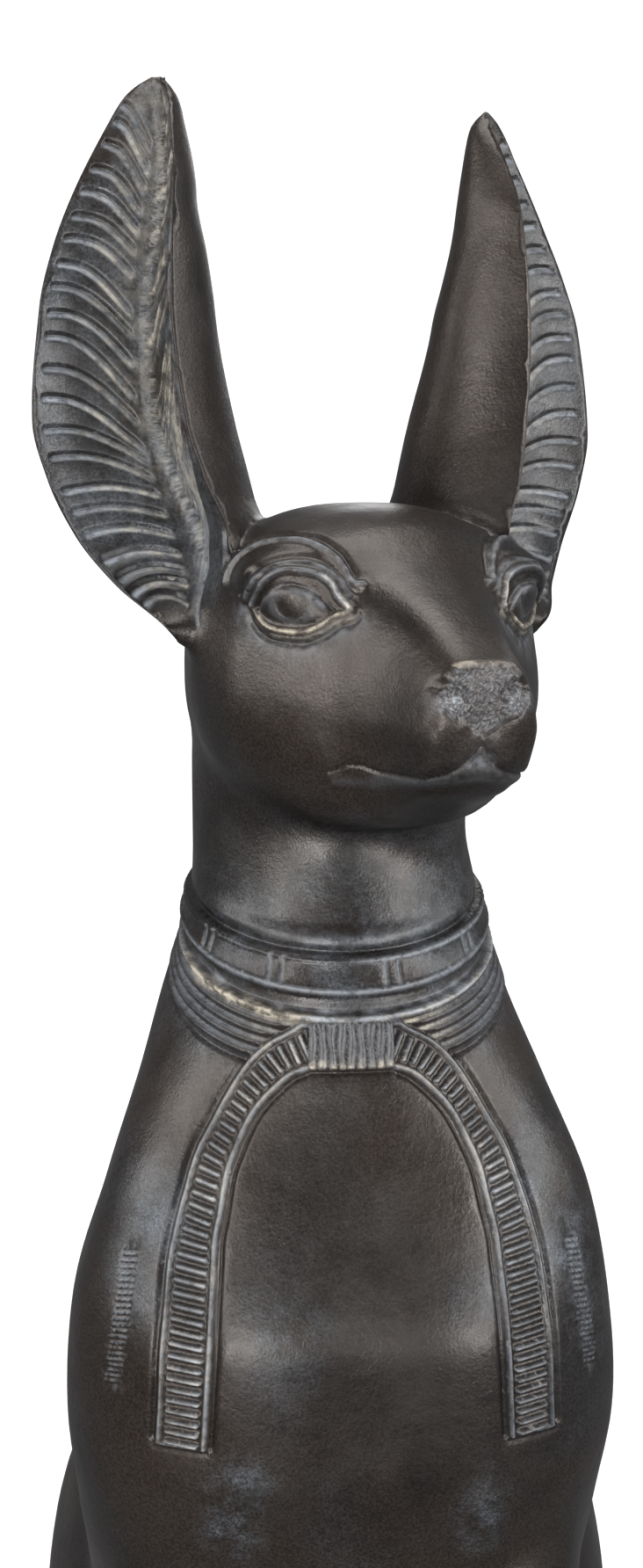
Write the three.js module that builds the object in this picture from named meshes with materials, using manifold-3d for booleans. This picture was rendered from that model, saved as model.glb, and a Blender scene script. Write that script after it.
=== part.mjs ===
// Seated jackal figure with tall carved ears, a collar and a barred ribbon, cast in one with its low base.
// Millimetres, +Z up. The figure faces -Y, and the origin is the middle of the underside of the base.

import * as THREE from 'three';
import { mergeVertices } from 'three/addons/utils/BufferGeometryUtils.js';
import Module from 'manifold-3d';

const wasm = await Module();
wasm.setup();

// Driving sizes in millimetres
const figureHeight = 772; // from the top of the base to the tips of the ears
const baseHeight = 28;
const baseWidth = 272;
const baseDepth = 364;
const baseCornerRadius = 14;
const baseEdgeBevel = 3;
const neckAxisSetback = -37; // the neck axis stands this far ahead of the middle of the base
const bodySink = 4; // how deep legs, haunches and tail are set into the base
const headTurnDegrees = 17; // the head looks to the figure's left

// The figure's own measure: every proportion below is in thousandths of its height.
// Places on the body are given as side (towards +X), front (towards -Y) and height above the base,
// with side and front counted from the neck axis.
const part = figureHeight / 1000;
const headTurn = THREE.MathUtils.degToRad(headTurnDegrees);

function bodyPlace(side, front, height) {
  return [side * part, neckAxisSetback - front * part, baseHeight + height * part];
}

// Head places are counted from the middle of the cheeks, ahead of the neck axis, and their heights
// from the level where the cheeks are widest.
const cheeksAheadOfNeck = 43;

function headPlace(side, front, height) {
  const ahead = cheeksAheadOfNeck + front;
  const bodySide = side * Math.cos(headTurn) + ahead * Math.sin(headTurn);
  const bodyFront = ahead * Math.cos(headTurn) - side * Math.sin(headTurn);
  return bodyPlace(bodySide, bodyFront, headLevel + height);
}

// A smooth run through stations: rows of [place, value, value, ...], flat at each high or low point.
function smoothRun(rows) {
  const count = rows.length;
  const width = rows[0].length;
  const slopes = rows.map(() => new Array(width).fill(0));
  for (let k = 1; k < width; k += 1) {
    for (let i = 0; i < count; i += 1) {
      const before = Math.max(i - 1, 0);
      const after = Math.min(i + 1, count - 1);
      const left = i > 0 ? (rows[i][k] - rows[before][k]) / (rows[i][0] - rows[before][0]) : null;
      const right = i < count - 1 ? (rows[after][k] - rows[i][k]) / (rows[after][0] - rows[i][0]) : null;
      if (left === null) slopes[i][k] = right;
      else if (right === null) slopes[i][k] = left;
      else if (left * right > 0) slopes[i][k] = (2 * left * right) / (left + right);
    }
  }
  return function valuesAt(place) {
    const x = THREE.MathUtils.clamp(place, rows[0][0], rows[count - 1][0]);
    let i = 0;
    while (i < count - 2 && x > rows[i + 1][0]) i += 1;
    const span = rows[i + 1][0] - rows[i][0];
    const t = (x - rows[i][0]) / span;
    const values = [];
    for (let k = 1; k < width; k += 1) {
      const a = rows[i][k];
      const b = rows[i + 1][k];
      const rise = b - a;
      const s0 = slopes[i][k] * span;
      const s1 = slopes[i + 1][k] * span;
      values.push(a + s0 * t + (3 * rise - 2 * s0 - s1) * t * t + (s0 + s1 - 2 * rise) * t * t * t);
    }
    return values;
  };
}

// A rounded hump of height 1 at its middle: exp(-distance squared), each distance over its reach.
function hump(...pairs) {
  let sum = 0;
  for (const [distance, reach] of pairs) sum += (distance / reach) ** 2;
  return Math.exp(-sum);
}

function signedPower(value, power) {
  return Math.sign(value) * Math.abs(value) ** power;
}

// One closed body from corner places and triangles, turned so that its faces point out.
function closedBody(points, triangles) {
  let volume = 0;
  for (const [a, b, c] of triangles) {
    const [p, q, r] = [points[a], points[b], points[c]];
    volume += p[0] * (q[1] * r[2] - q[2] * r[1]);
    volume += p[1] * (q[2] * r[0] - q[0] * r[2]);
    volume += p[2] * (q[0] * r[1] - q[1] * r[0]);
  }
  const facing = volume > 0 ? triangles : triangles.map(([a, b, c]) => [a, c, b]);
  return new wasm.Manifold(new wasm.Mesh({
    numProp: 3,
    vertProperties: new Float32Array(points.flat()),
    triVerts: new Uint32Array(facing.flat()),
  }));
}

// A skin over rings: ringPlace(row, column share) for rows 0 to rows, closed by a point at both ends.
function skin(rows, columns, ringPlace) {
  const points = [];
  const triangles = [];
  for (let i = 0; i <= rows; i += 1) {
    for (let j = 0; j < columns; j += 1) points.push(ringPlace(i, j / columns));
  }
  const middleOf = (row) => {
    const ring = points.slice(row * columns, (row + 1) * columns);
    return [0, 1, 2].map((k) => ring.reduce((sum, p) => sum + p[k], 0) / columns);
  };
  for (let i = 0; i < rows; i += 1) {
    for (let j = 0; j < columns; j += 1) {
      const next = (j + 1) % columns;
      const [a, b] = [i * columns + j, i * columns + next];
      const [c, d] = [a + columns, b + columns];
      triangles.push([a, b, d], [a, d, c]);
    }
  }
  const first = points.length;
  points.push(middleOf(0), middleOf(rows));
  for (let j = 0; j < columns; j += 1) {
    const next = (j + 1) % columns;
    triangles.push([first, next, j], [first + 1, rows * columns + j, rows * columns + next]);
  }
  return closedBody(points, triangles);
}

// A bar laid along a surface: stops of { at, out, across } carry a section of [across, out] pairs.
function barAlong(stops, section) {
  return skin(stops.length - 1, section.length, (row, share) => {
    const [across, out] = section[Math.round(share * section.length)];
    const stop = stops[row];
    return [0, 1, 2].map((k) => stop.at[k] + stop.across[k] * across + stop.out[k] * out);
  });
}

// Stops for a bar, from a run of places and a way to ask for the surface's outward direction.
function stopsAlong(count, placeAt, outwardAt) {
  const stops = [];
  for (let i = 0; i <= count; i += 1) {
    const t = i / count;
    const before = new THREE.Vector3(...placeAt(Math.max(t - 0.01, 0)));
    const after = new THREE.Vector3(...placeAt(Math.min(t + 0.01, 1)));
    const along = after.sub(before).normalize();
    const out = new THREE.Vector3(...outwardAt(t)).normalize();
    const across = new THREE.Vector3().crossVectors(along, out).normalize();
    out.crossVectors(across, along).normalize();
    stops.push({ at: placeAt(t), out: out.toArray(), across: across.toArray() });
  }
  return stops;
}

// The outward direction of a surface given as placeAt(a, b), by small steps along both.
function outwardOf(placeAt, a, b, stepA, stepB, inside) {
  const here = new THREE.Vector3(...placeAt(a, b));
  const alongA = new THREE.Vector3(...placeAt(a + stepA, b)).sub(here);
  const alongB = new THREE.Vector3(...placeAt(a, b + stepB)).sub(here);
  const out = alongA.cross(alongB).normalize();
  if (out.dot(here.sub(new THREE.Vector3(...inside))) < 0) out.negate();
  return out.toArray();
}

// Trunk and neck: one skin from the seat to the top of the neck inside the head.
// Rows hold height, half width, place of the widest line, front reach, back reach, squareness and middle.
const trunkRows = [
  [-5, 98, -90, 56, 246, 2.8, 0],
  [100, 108, -80, 56, 252, 2.8, 0],
  [200, 116, -50, 64, 222, 2.8, 0],
  [260, 120, -20, 80, 196, 2.6, 0],
  [310, 122, 5, 104, 173, 2.5, 0],
  [355, 124.5, 30, 122, 153, 2.5, -1],
  [400, 128.5, 44, 130, 135, 2.4, -0.5],
  [450, 124.5, 58, 131, 119, 2.3, -1.5],
  [505, 111.5, 56, 112, 102, 2.2, 1.5],
  [550, 95, 30, 95, 90, 2.1, 1],
  [590, 81, 3, 84, 80, 2.05, 0],
  [633, 68.5, 0, 70, 71, 2, 0],
];
const neckFoot = trunkRows[trunkRows.length - 1][0];
const neckLength = 107; // from the collar to the level where the cheeks are widest
const headLevel = neckFoot + neckLength;
// The neck's rows start with a share of its length, and the last one lies inside the head.
const neckRows = [
  [0.29, 65, 0, 63, 68, 2, -2],
  [0.63, 66, 0, 60, 69, 2, -1],
  [1.14, 50, 0, 36, 56, 2, 0],
].map(([share, ...values]) => [neckFoot + share * neckLength, ...values]);
const trunkAt = smoothRun([...trunkRows, ...neckRows]);
const trunkColumns = 24;
const breastSwell = 7;
const breastFurrow = 5;

function breastRise(side, height) {
  const swell = breastSwell * hump([Math.abs(side) - 50, 34], [height - 470, 70]);
  const furrow = breastFurrow * hump([side, 16], [height - 400, 80]);
  return swell - furrow;
}

// A point of the trunk's skin, around from +X over the front, as side, front and height.
function trunkPoint(height, turn) {
  const [halfWidth, widest, frontReach, backReach, square, middle] = trunkAt(height);
  const power = 2 / square;
  const side = middle + halfWidth * signedPower(Math.cos(turn), power);
  const depth = signedPower(Math.sin(turn), power);
  if (depth < 0) return [side, widest + (backReach + widest) * depth, height];
  const rise = breastRise(side, height) * depth;
  return [side, widest + (frontReach - widest) * depth + rise, height];
}

// How far the front of the trunk reaches at a given side and height.
function trunkFront(side, height) {
  const [halfWidth, widest, frontReach, , square, middle] = trunkAt(height);
  const share = Math.min(Math.abs(side - middle) / halfWidth, 1);
  const depth = (1 - share ** square) ** (1 / square);
  return widest + (frontReach - widest) * depth + breastRise(side, height) * depth;
}

function makeTrunk() {
  const heights = [-5, 110, 200, 260, 310, 355, 400, 440, 480, 520, 556, 590, neckFoot];
  heights.push(...neckRows.map(([height]) => height));
  return skin(heights.length - 1, trunkColumns, (row, share) => {
    const [side, front, height] = trunkPoint(heights[row], share * Math.PI * 2);
    return bodyPlace(side, front, height);
  });
}

// Forelegs: straight posts under the shoulders, each with a forward paw and three toe cuts.
// Rows hold height, middle of the leg to the side, middle to the front, half width and half depth.
const forelegAt = smoothRun([
  [-5, 56, 82, 31, 34],
  [60, 55, 80, 28, 31],
  [120, 56, 77, 30, 33],
  [200, 59, 72, 37, 39],
  [270, 62, 66, 43, 46],
  [330, 66, 60, 46, 52],
  [380, 68, 56, 44, 50],
]);

function makeForeleg(hand) {
  const heights = [-5, 60, 120, 170, 220, 270, 330, 380];
  return skin(heights.length - 1, 10, (row, share) => {
    const [side, front, halfWidth, halfDepth] = forelegAt(heights[row]);
    const turn = share * Math.PI * 2;
    return bodyPlace(
      hand * (side + halfWidth * Math.cos(turn)),
      front + halfDepth * Math.sin(turn),
      heights[row],
    );
  });
}

// A paw runs forward along the base: rows hold front, half width and top height.
function makePaw(hand, side, rows) {
  const pawAt = smoothRun(rows);
  const stations = 5;
  const start = rows[0][0];
  const end = rows[rows.length - 1][0];
  const sunk = -bodySink / part;
  return skin(stations, 10, (row, share) => {
    const front = start + (end - start) * Math.sin((row / stations) * Math.PI * 0.5);
    const [halfWidth, top] = pawAt(front);
    const turn = share * Math.PI * 2;
    const up = Math.sin(turn);
    return bodyPlace(
      hand * (side + halfWidth * signedPower(Math.cos(turn), 0.75)),
      front,
      up > 0 ? top * up : sunk * -up,
    );
  });
}

const frontPawSide = 56;
const frontPawRows = [[40, 29, 30], [90, 33, 46], [125, 37, 40], [148, 34, 27], [158, 20, 8]];
const hindPawSide = 112;
const hindPawRows = [[-110, 22, 26], [-40, 25, 34], [30, 27, 36], [72, 30, 30], [92, 27, 20], [100, 16, 6]];
const toeGaps = [-16, 0, 16];
const toeCut = { halfWidth: 4, innerShare: 0.4, length: 36, pastPaw: 12, top: 60, foot: -6, innerLift: 22 };

// Narrow wedges that part the toes at the front of a paw, shallower towards the leg.
function toeCuts(hand, side, rows) {
  const end = rows[rows.length - 1][0];
  const section = [[-toeCut.halfWidth, toeCut.top], [0, toeCut.foot], [toeCut.halfWidth, toeCut.top]];
  return toeGaps.map((gap) => skin(1, 3, (row, share) => {
    const [shift, height] = section[Math.round(share * 3)];
    const [width, front, lift] = row === 0
      ? [toeCut.innerShare, end - toeCut.length, toeCut.innerLift]
      : [1, end + toeCut.pastPaw, 0];
    return bodyPlace(hand * (side + gap + shift * width), front, height + lift);
  }));
}

// Haunches: the folded thigh, and the knee in front of it, both fuller than an egg.
const haunchFullness = 0.62;
const haunchShift = 6; // both haunches lie a little towards the figure's left
const thigh = { middle: [84, -108, 185], reach: [73, 126], up: 143, down: 230 };
const knee = { middle: [98, -12, 96], reach: [43, 66], up: 92, down: 130 };

function roundedMass(hand, { middle, reach, up, down }, rows, columns) {
  return skin(rows, columns, (row, share) => {
    const slope = Math.PI * (0.03 + 0.94 * (row / rows)) - Math.PI / 2;
    const turn = share * Math.PI * 2;
    const girth = Math.cos(slope) ** haunchFullness;
    return bodyPlace(
      haunchShift + hand * (middle[0] + reach[0] * girth * Math.cos(turn)),
      middle[1] + reach[1] * girth * Math.sin(turn),
      Math.max(middle[2] + (slope > 0 ? up : down) * Math.sin(slope), -bodySink / part),
    );
  });
}

function makeHaunch(hand) {
  return roundedMass(hand, thigh, 8, 12).add(roundedMass(hand, knee, 4, 9));
}

// Tail: lies on the base from the rump along the figure's left side.
const tailRadius = 15;
const tailCurve = new THREE.CatmullRomCurve3([
  new THREE.Vector3(10, -236, 26),
  new THREE.Vector3(70, -232, 14),
  new THREE.Vector3(128, -190, 12),
  new THREE.Vector3(150, -110, 12),
  new THREE.Vector3(150, -30, 12),
  new THREE.Vector3(146, 40, 12),
]);

function makeTail() {
  const stations = 12;
  return skin(stations, 8, (row, share) => {
    const t = row / stations;
    const middle = tailCurve.getPoint(t);
    const along = tailCurve.getTangent(t);
    const across = new THREE.Vector3(along.y, -along.x, 0).normalize();
    const radius = tailRadius * (row === stations ? 0.35 : 1 - 0.25 * t);
    const turn = share * Math.PI * 2;
    const low = -bodySink / part;
    return bodyPlace(
      middle.x + across.x * radius * Math.cos(turn),
      middle.y + across.y * radius * Math.cos(turn),
      Math.max(middle.z + radius * Math.sin(turn), low),
    );
  });
}

// Head: rings across the head's own axis, from the nape to the tip of the muzzle.
// Rows hold front, half width, top, height of the widest line, bottom, squareness, top taper and lean back.
const headAt = smoothRun([
  [-106, 14, 6, -18, -40, 2, 0, 0],
  [-97, 42, 24, -16, -54, 2, 0, 0],
  [-70, 64, 53, -5, -68, 2.3, 0, 0],
  [-40, 74, 70, 2, -68, 2.5, 0, 0],
  [-8, 80, 75, 5, -69, 2.5, 0.02, 0],
  [18, 74, 73, 3, -68, 2.4, 0.05, 0],
  [38, 62.5, 66, -2, -66, 2.4, 0.08, 0],
  [56, 50, 52, -9, -62.5, 2.5, 0.16, 0],
  [70, 41, 43, -12, -60, 2.9, 0.24, 0.06],
  [90, 33, 31, -14, -55.5, 3.3, 0.32, 0.16],
  [108, 28.5, 20, -15, -50, 3.5, 0.34, 0.3],
  [117, 26, 15, -16, -46, 3.5, 0.34, 0.36],
  [121, 22.5, 13, -16, -42, 3.3, 0.34, 0.36],
  [123, 14, 8, -14, -34, 3, 0.3, 0.36],
]);
const eyeMiddle = { front: 43, height: 33 };
const browMiddle = { side: 58, front: 38, height: 50 };
const browReach = { side: 28, front: 26, height: 16 };
const browSwell = 18;
const browForward = 0.35; // how far the brow's fullness also comes forward, as a share of it
const cheekMiddle = { side: 72, front: 30, height: -18 };
const cheekReach = { side: 34, front: 26, height: 24 };
const cheekSwell = 3;
const chinDrop = 60;

function humpAt(middle, reach, side, front, height) {
  const place = { side, front, height };
  return hump(...Object.keys(place).map((axis) => [place[axis] - middle[axis], reach[axis]]));
}

function headPoint(front, turn) {
  const [halfWidth, top, widest, bottom, square, taper, lean] = headAt(front);
  const power = 2 / square;
  const up = signedPower(Math.sin(turn), power);
  let side = halfWidth * signedPower(Math.cos(turn), power);
  side *= 1 - taper * Math.max(up, 0);
  const height = up > 0 ? widest + (top - widest) * up : widest + (widest - bottom) * up;
  const across = Math.abs(side);
  const brow = browSwell * humpAt(browMiddle, browReach, across, front, height);
  const cheek = cheekSwell * humpAt(cheekMiddle, cheekReach, across, front, height);
  const setback = (lean * (top - height) ** 2) / chinDrop;
  return [side + (cheek + brow) * Math.sign(side), front + brow * browForward - setback, height];
}

function headSkin(front, turn) {
  return headPlace(...headPoint(front, turn));
}

function makeHead() {
  const fronts = [-106, -94, -70, -38, -8, 12, 24, 34, 43, 52, 61, 74, 92, 110, 118, 121, 123];
  return skin(fronts.length - 1, 24, (row, share) => headSkin(fronts[row], share * Math.PI * 2));
}

// Ears: tall leaves, hollow to the outside front. The crest is the front edge, the rim the outer edge.
// Rows hold height, rim side and front, crest side and front, depth of the hollow, and the bend of the leaf's
// back behind the crest: its place along and its depth, both as shares of the ear's width.
const earAt = smoothRun([
  [2, 76, -14, 62, -6, 0.1, -0.1, 1.1],
  [20, 93, -6, 76, 4, 0.2, -0.1, 1.2],
  [38, 109, -29, 70, 6, 0.34, -0.1, 1.3],
  [60, 123.5, -44, 68, 4, 0.36, -0.13, 1.31],
  [85, 134.5, -49, 76.5, -2, 0.39, -0.36, 1.29],
  [110, 140, -52, 82.5, -8, 0.4, -0.48, 1.27],
  [160, 135, -55, 87, -14, 0.4, -0.45, 1.16],
  [185, 128, -58, 86, -16, 0.39, -0.3, 1.02],
  [210, 117.5, -60, 84, -19, 0.37, -0.07, 0.9],
  [240, 101.5, -59, 80.5, -33, 0.3, -0.12, 0.81],
  [252, 94, -57, 79, -42, 0.2, -0.33, 0.75],
  [260, 85, -51.5, 79.5, -47, 0.1, -0.2, 0.8],
]);

// The hollow's section, as shares of the ear's width: along from crest to rim, and out of the hollow.
const hollowSection = [[0, 0], [0.17, -0.45], [0.36, -1], [0.58, -0.76], [0.82, -0.42], [1, 0]];
const earValleyStop = 2;
const earRimStop = hollowSection.length - 1;
const leafStops = 6;
const earStops = hollowSection.length + leafStops;
const rimBend = { along: 0.85, depth: 1.05 }; // the leaf's other bend, behind the rim

// The leaf's back: a cubic curve from rim to crest, drawn out by a bend behind each.
function leafAt(stop, bendAlong, bendDepth) {
  const t = (stop - earRimStop) / (leafStops + 1);
  const [fromRim, byRim, byCrest] = [(1 - t) ** 3, 3 * t * (1 - t) ** 2, 3 * t * t * (1 - t)];
  const along = fromRim + byRim * rimBend.along + byCrest * bendAlong;
  return [along, -(byRim * rimBend.depth + byCrest) * bendDepth];
}

// Curved barbs run from the midrib of the hollow up and outwards to the rim, as on a feather.
// Each barb is a sharp step in the hollow, and the step dies out at the rim.
const barbCount = 14;
const lowestBarb = 46;
const highestBarb = 224;
const barbStep = 2.6;
const barbStepShare = 0.3;
const lowestBarbClimb = -6;
const highestBarbClimb = 20;
const barbArch = 5;
const barbDepthAtStop = [0, 0.5, 0.6, 1, 0.9];
const earRoot = 2;
const earTip = 260;
const barbFadeAtRoot = 44;
const barbFadeAtTip = 36;
const leftEarShare = 0.985; // the figure's left ear is a little lower than the right one

// How far a stop of the section is lifted above the height of its row.
function barbLift(height, stop) {
  if (stop <= earValleyStop || stop >= earRimStop + 1) return 0;
  const rank = THREE.MathUtils.clamp((height - lowestBarb) / (highestBarb - lowestBarb), 0, 1);
  const reach = (stop - earValleyStop) / (earRimStop - earValleyStop);
  const fadeAtTip = THREE.MathUtils.clamp((earTip - height) / barbFadeAtTip, 0, 1);
  const fadeAtRoot = THREE.MathUtils.clamp((height - earRoot) / barbFadeAtRoot, 0, 1);
  const climb = THREE.MathUtils.lerp(lowestBarbClimb, highestBarbClimb, Math.sqrt(rank));
  const lift = climb * Math.sin((reach * Math.PI) / 2) + barbArch * Math.sin(reach * Math.PI);
  return fadeAtTip * fadeAtRoot * lift;
}

// A point of the ear's skin: the row's height, the stop of the section and how deep the barb is cut.
function earPoint(rowHeight, stop, cut) {
  const height = rowHeight + barbLift(rowHeight, stop);
  const [rimSide, rimFront, crestSide, crestFront, hollow, bendAlong, bendDepth] = earAt(height);
  const inHollow = stop <= earRimStop;
  const [along, depth] = inHollow ? hollowSection[stop] : leafAt(stop, bendAlong, bendDepth);
  const alongSide = rimSide - crestSide;
  const alongFront = rimFront - crestFront;
  const width = Math.hypot(alongSide, alongFront);
  const out = (inHollow ? hollow : 1) * depth - (cut * (barbDepthAtStop[stop] ?? 0)) / width;
  return [
    crestSide + alongSide * along - alongFront * out,
    crestFront + alongFront * along + alongSide * out,
    height,
  ];
}

function earRows() {
  const rows = [[earRoot, 0], [20, 0], [34, 0]];
  const pitch = (highestBarb - lowestBarb) / (barbCount - 1);
  for (let n = 0; n < barbCount; n += 1) {
    rows.push([lowestBarb + n * pitch, 0], [lowestBarb + (n + barbStepShare) * pitch, barbStep]);
  }
  rows.push([240, 0], [252, 0], [earTip, 0]);
  return rows;
}

function makeEar(hand) {
  const rows = earRows();
  return skin(rows.length - 1, earStops, (row, share) => {
    const stop = Math.round(share * earStops);
    const [side, front, height] = earPoint(rows[row][0], stop, rows[row][1]);
    const tallness = hand > 0 ? leftEarShare : 1;
    return headPlace(hand * side, front, earRoot + (height - earRoot) * tallness);
  });
}

// Face: almond eyes with raised lids, a brow line over each, the nose and the mouth line.
// A place on the head's skin near a wanted side, front and height, found along its ring.
function onHead(hand, front, height) {
  let low = -Math.PI / 2;
  let high = Math.PI / 2;
  for (let i = 0; i < 30; i += 1) {
    const turn = (low + high) / 2;
    if (headPoint(front, turn)[2] < height) low = turn;
    else high = turn;
  }
  return hand > 0 ? low : Math.PI - low;
}

function faceStops(count, hand, frontHeightAt) {
  const skinAt = (front, height) => headSkin(front, onHead(hand, front, height));
  const placeAt = (t) => skinAt(...frontHeightAt(t));
  const outwardAt = (t) => {
    const [front, height] = frontHeightAt(t);
    return outwardOf(skinAt, front, height, 0.5, 0.5, headPlace(0, front - 12, -5));
  };
  return stopsAlong(count, placeAt, outwardAt);
}

const eyeHalfLength = 14; // along the head's own front
const eyeHalfOpen = 11;
const lidWidth = 4.4;
const lidRise = 3;
const browRise = 2.4;

function reliefSection(width, rise) {
  const half = (width * part) / 2;
  const top = rise * part;
  return [[-half, -top], [half, -top], [half * 0.9, top * 0.5], [0, top], [-half * 0.9, top * 0.5]];
}

const browInner = { front: 57, height: 40 };
const browOuter = { front: 10, height: 42 };
const browArch = { front: -6, height: 20 };
const globeReach = [17, 5.5, 9.5];

// A line over the face from one place to another, bowed by an arch at its middle.
function browLine(t) {
  const bow = Math.sin(t * Math.PI);
  return [
    THREE.MathUtils.lerp(browInner.front, browOuter.front, t) + browArch.front * bow,
    THREE.MathUtils.lerp(browInner.height, browOuter.height, t) + browArch.height * bow,
  ];
}

// The edge of the upper (1) or lower (-1) lid: an almond, blunter than an ellipse.
function lidLine(t, upOrDown) {
  const open = Math.sin(t * Math.PI) ** 0.8;
  return [
    eyeMiddle.front + eyeHalfLength * Math.cos(t * Math.PI),
    eyeMiddle.height + upOrDown * eyeHalfOpen * open,
  ];
}

function makeEye(hand) {
  const upper = barAlong(faceStops(6, hand, (t) => lidLine(t, 1)), reliefSection(lidWidth, lidRise));
  const lower = barAlong(faceStops(6, hand, (t) => lidLine(t, -1)), reliefSection(lidWidth, lidRise));
  const brow = barAlong(faceStops(8, hand, browLine), reliefSection(lidWidth, browRise));
  const stop = faceStops(2, hand, (t) => [eyeMiddle.front + (t - 0.5) * eyeHalfLength, eyeMiddle.height])[1];
  const out = new THREE.Vector3(...stop.out);
  const along = new THREE.Vector3(0, 0, 1).cross(out).normalize();
  const axes = new THREE.Matrix4().makeBasis(along, out, new THREE.Vector3().crossVectors(along, out));
  const globe = new THREE.SphereGeometry(1, 8, 5);
  globe.scale(...globeReach.map((reach) => reach * part));
  globe.applyMatrix4(axes);
  globe.translate(...stop.at);
  return [upper, lower, brow, solidOf(globe)];
}

// The mouth is one long cut low on each side of the muzzle, and each nostril a small hollow.
const mouthCorner = { front: 64, height: -34 };
const mouthFront = 121;
const mouthDip = 3;
const mouthLift = 8;
const mouthCutWidth = 4;
const mouthCutDepth = 4.5;
const nostrilMiddle = { side: 15, front: 118, height: -2 };
const nostrilReach = [5, 5, 4];

function mouthLine(t) {
  const dip = mouthDip * Math.sin(t * Math.PI * 0.8);
  const front = THREE.MathUtils.lerp(mouthCorner.front, mouthFront, t);
  return [front, mouthCorner.height - dip + mouthLift * t ** 3];
}

function makeMouthCut(hand) {
  const half = mouthCutWidth * part;
  const depth = mouthCutDepth * part;
  return barAlong(faceStops(6, hand, mouthLine), [[-half, depth], [0, -depth], [half, depth]]);
}

function makeNostril(hand) {
  const hollow = new THREE.SphereGeometry(1, 6, 4);
  hollow.scale(...nostrilReach.map((reach) => reach * part));
  hollow.translate(...headPlace(hand * nostrilMiddle.side, nostrilMiddle.front, nostrilMiddle.height));
  return solidOf(hollow);
}

// Collar: a band round the neck, its lower edge a thick rim, and four strands under the rim.
// The levels drop towards the front; the band is tallest at the throat.
const collarAboveNeckFoot = 1.5;
const bandHeight = 10.5; // at the sides, as the rim's height is
const rimHeight = 3.6;
const collarTopAtSides = neckFoot + collarAboveNeckFoot;
const bandFootAtSides = collarTopAtSides - bandHeight;
const rimFootAtSides = bandFootAtSides - rimHeight;
const collarTopDrop = 0.24;
const bandFootDrop = 0.3;
const rimFootDrop = 0.38;
const bandRise = 2.8;
const rimRise = 4.6;
const rimStep = 1.5;
const strandCount = 4;
const strandPitch = 4;
const strandRise = 3;
const strandRoot = 1.2;
const collarRoot = 5; // how deep the collar is set into the neck

function collarLevel(atSides, frontDrop, front) {
  return atSides - front * (front > 0 ? frontDrop : collarTopDrop);
}

function collarPlace(levelAtSides, drop, below, rise, turn) {
  let height = levelAtSides;
  for (let i = 0; i < 6; i += 1) {
    const front = trunkPoint(height, turn)[1];
    height = collarLevel(levelAtSides, drop, front) - below;
  }
  const [side, front] = trunkPoint(height, turn);
  const reach = Math.hypot(side, front);
  return [side * (1 + rise / reach), front * (1 + rise / reach), height];
}

function collarRows() {
  const rows = [
    [collarTopAtSides, collarTopDrop, 0, -collarRoot],
    [collarTopAtSides, collarTopDrop, 0, bandRise],
    [bandFootAtSides, bandFootDrop, 0, bandRise],
    [bandFootAtSides, bandFootDrop, rimStep, rimRise],
    [rimFootAtSides, rimFootDrop, -rimStep, rimRise],
  ];
  for (let k = 0; k <= strandCount; k += 1) {
    rows.push([rimFootAtSides, rimFootDrop, k * strandPitch, strandRoot]);
    if (k < strandCount) rows.push([rimFootAtSides, rimFootDrop, (k + 0.5) * strandPitch, strandRise]);
  }
  rows.push([rimFootAtSides, rimFootDrop, strandCount * strandPitch, -collarRoot]);
  return rows;
}

function makeCollar() {
  const rows = collarRows();
  return skin(rows.length - 1, trunkColumns, (row, share) => {
    const [level, drop, below, rise] = rows[row];
    return bodyPlace(...collarPlace(level, drop, below, rise, share * Math.PI * 2));
  });
}

// Ribbon: a ribbed knot at the throat, and two ends that spread over the breast and hang down it.
// Rows hold the share of the length, side, height and width.
const ribbonAt = smoothRun([
  [0, 14, 578, 17],
  [0.12, 33, 571, 17],
  [0.27, 52, 547, 17],
  [0.44, 66, 516, 20],
  [0.6, 73, 486, 23],
  [0.8, 75.5, 449, 25],
  [1, 77, 410, 25],
]);
const ribbonRoot = 4; // how deep the ribbon is set into the breast
const ribbonRise = 2.2;
const ribbonEdge = 2;
const ribbonEdgeRise = 3.6;
const barCount = 21;
const barRise = 4.4;
const knotHalfWidth = 20;
const knotBelowNeckFoot = 45;
const knotHeight = 19;
const knotTop = neckFoot - knotBelowNeckFoot;
const knotFoot = knotTop - knotHeight;
const knotRoot = 6;
const knotRise = 4;
const knotRibCount = 8;
const knotRibRise = 7;

function chestPlace(side, height) {
  return bodyPlace(side, trunkFront(side, height), height);
}

function chestOutward(side, height) {
  return outwardOf(chestPlace, side, height, 0.5, 0.5, bodyPlace(0, 0, height));
}

function ribbonStops(count, hand) {
  const placeAt = (t) => {
    const [side, height] = ribbonAt(t);
    return chestPlace(hand * side, height);
  };
  const outwardAt = (t) => {
    const [side, height] = ribbonAt(t);
    return chestOutward(hand * side, height);
  };
  return stopsAlong(count, placeAt, outwardAt);
}

function makeRibbon(hand) {
  const rows = barCount * 2;
  const stops = ribbonStops(rows, hand);
  const root = -ribbonRoot * part;
  return skin(rows, 5, (row, share) => {
    const stop = stops[row];
    const half = (ribbonAt(row / rows)[2] * part) / 2;
    const inner = half - ribbonEdge * part;
    const edge = ribbonEdgeRise * part;
    const rise = (row % 2 === 1 ? barRise : ribbonRise) * part;
    const section = [[0, root], [half, edge], [inner, rise], [-inner, rise], [-half, edge]];
    const [across, out] = section[Math.round(share * 5)];
    return [0, 1, 2].map((k) => stop.at[k] + stop.across[k] * across + stop.out[k] * out);
  });
}

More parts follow.
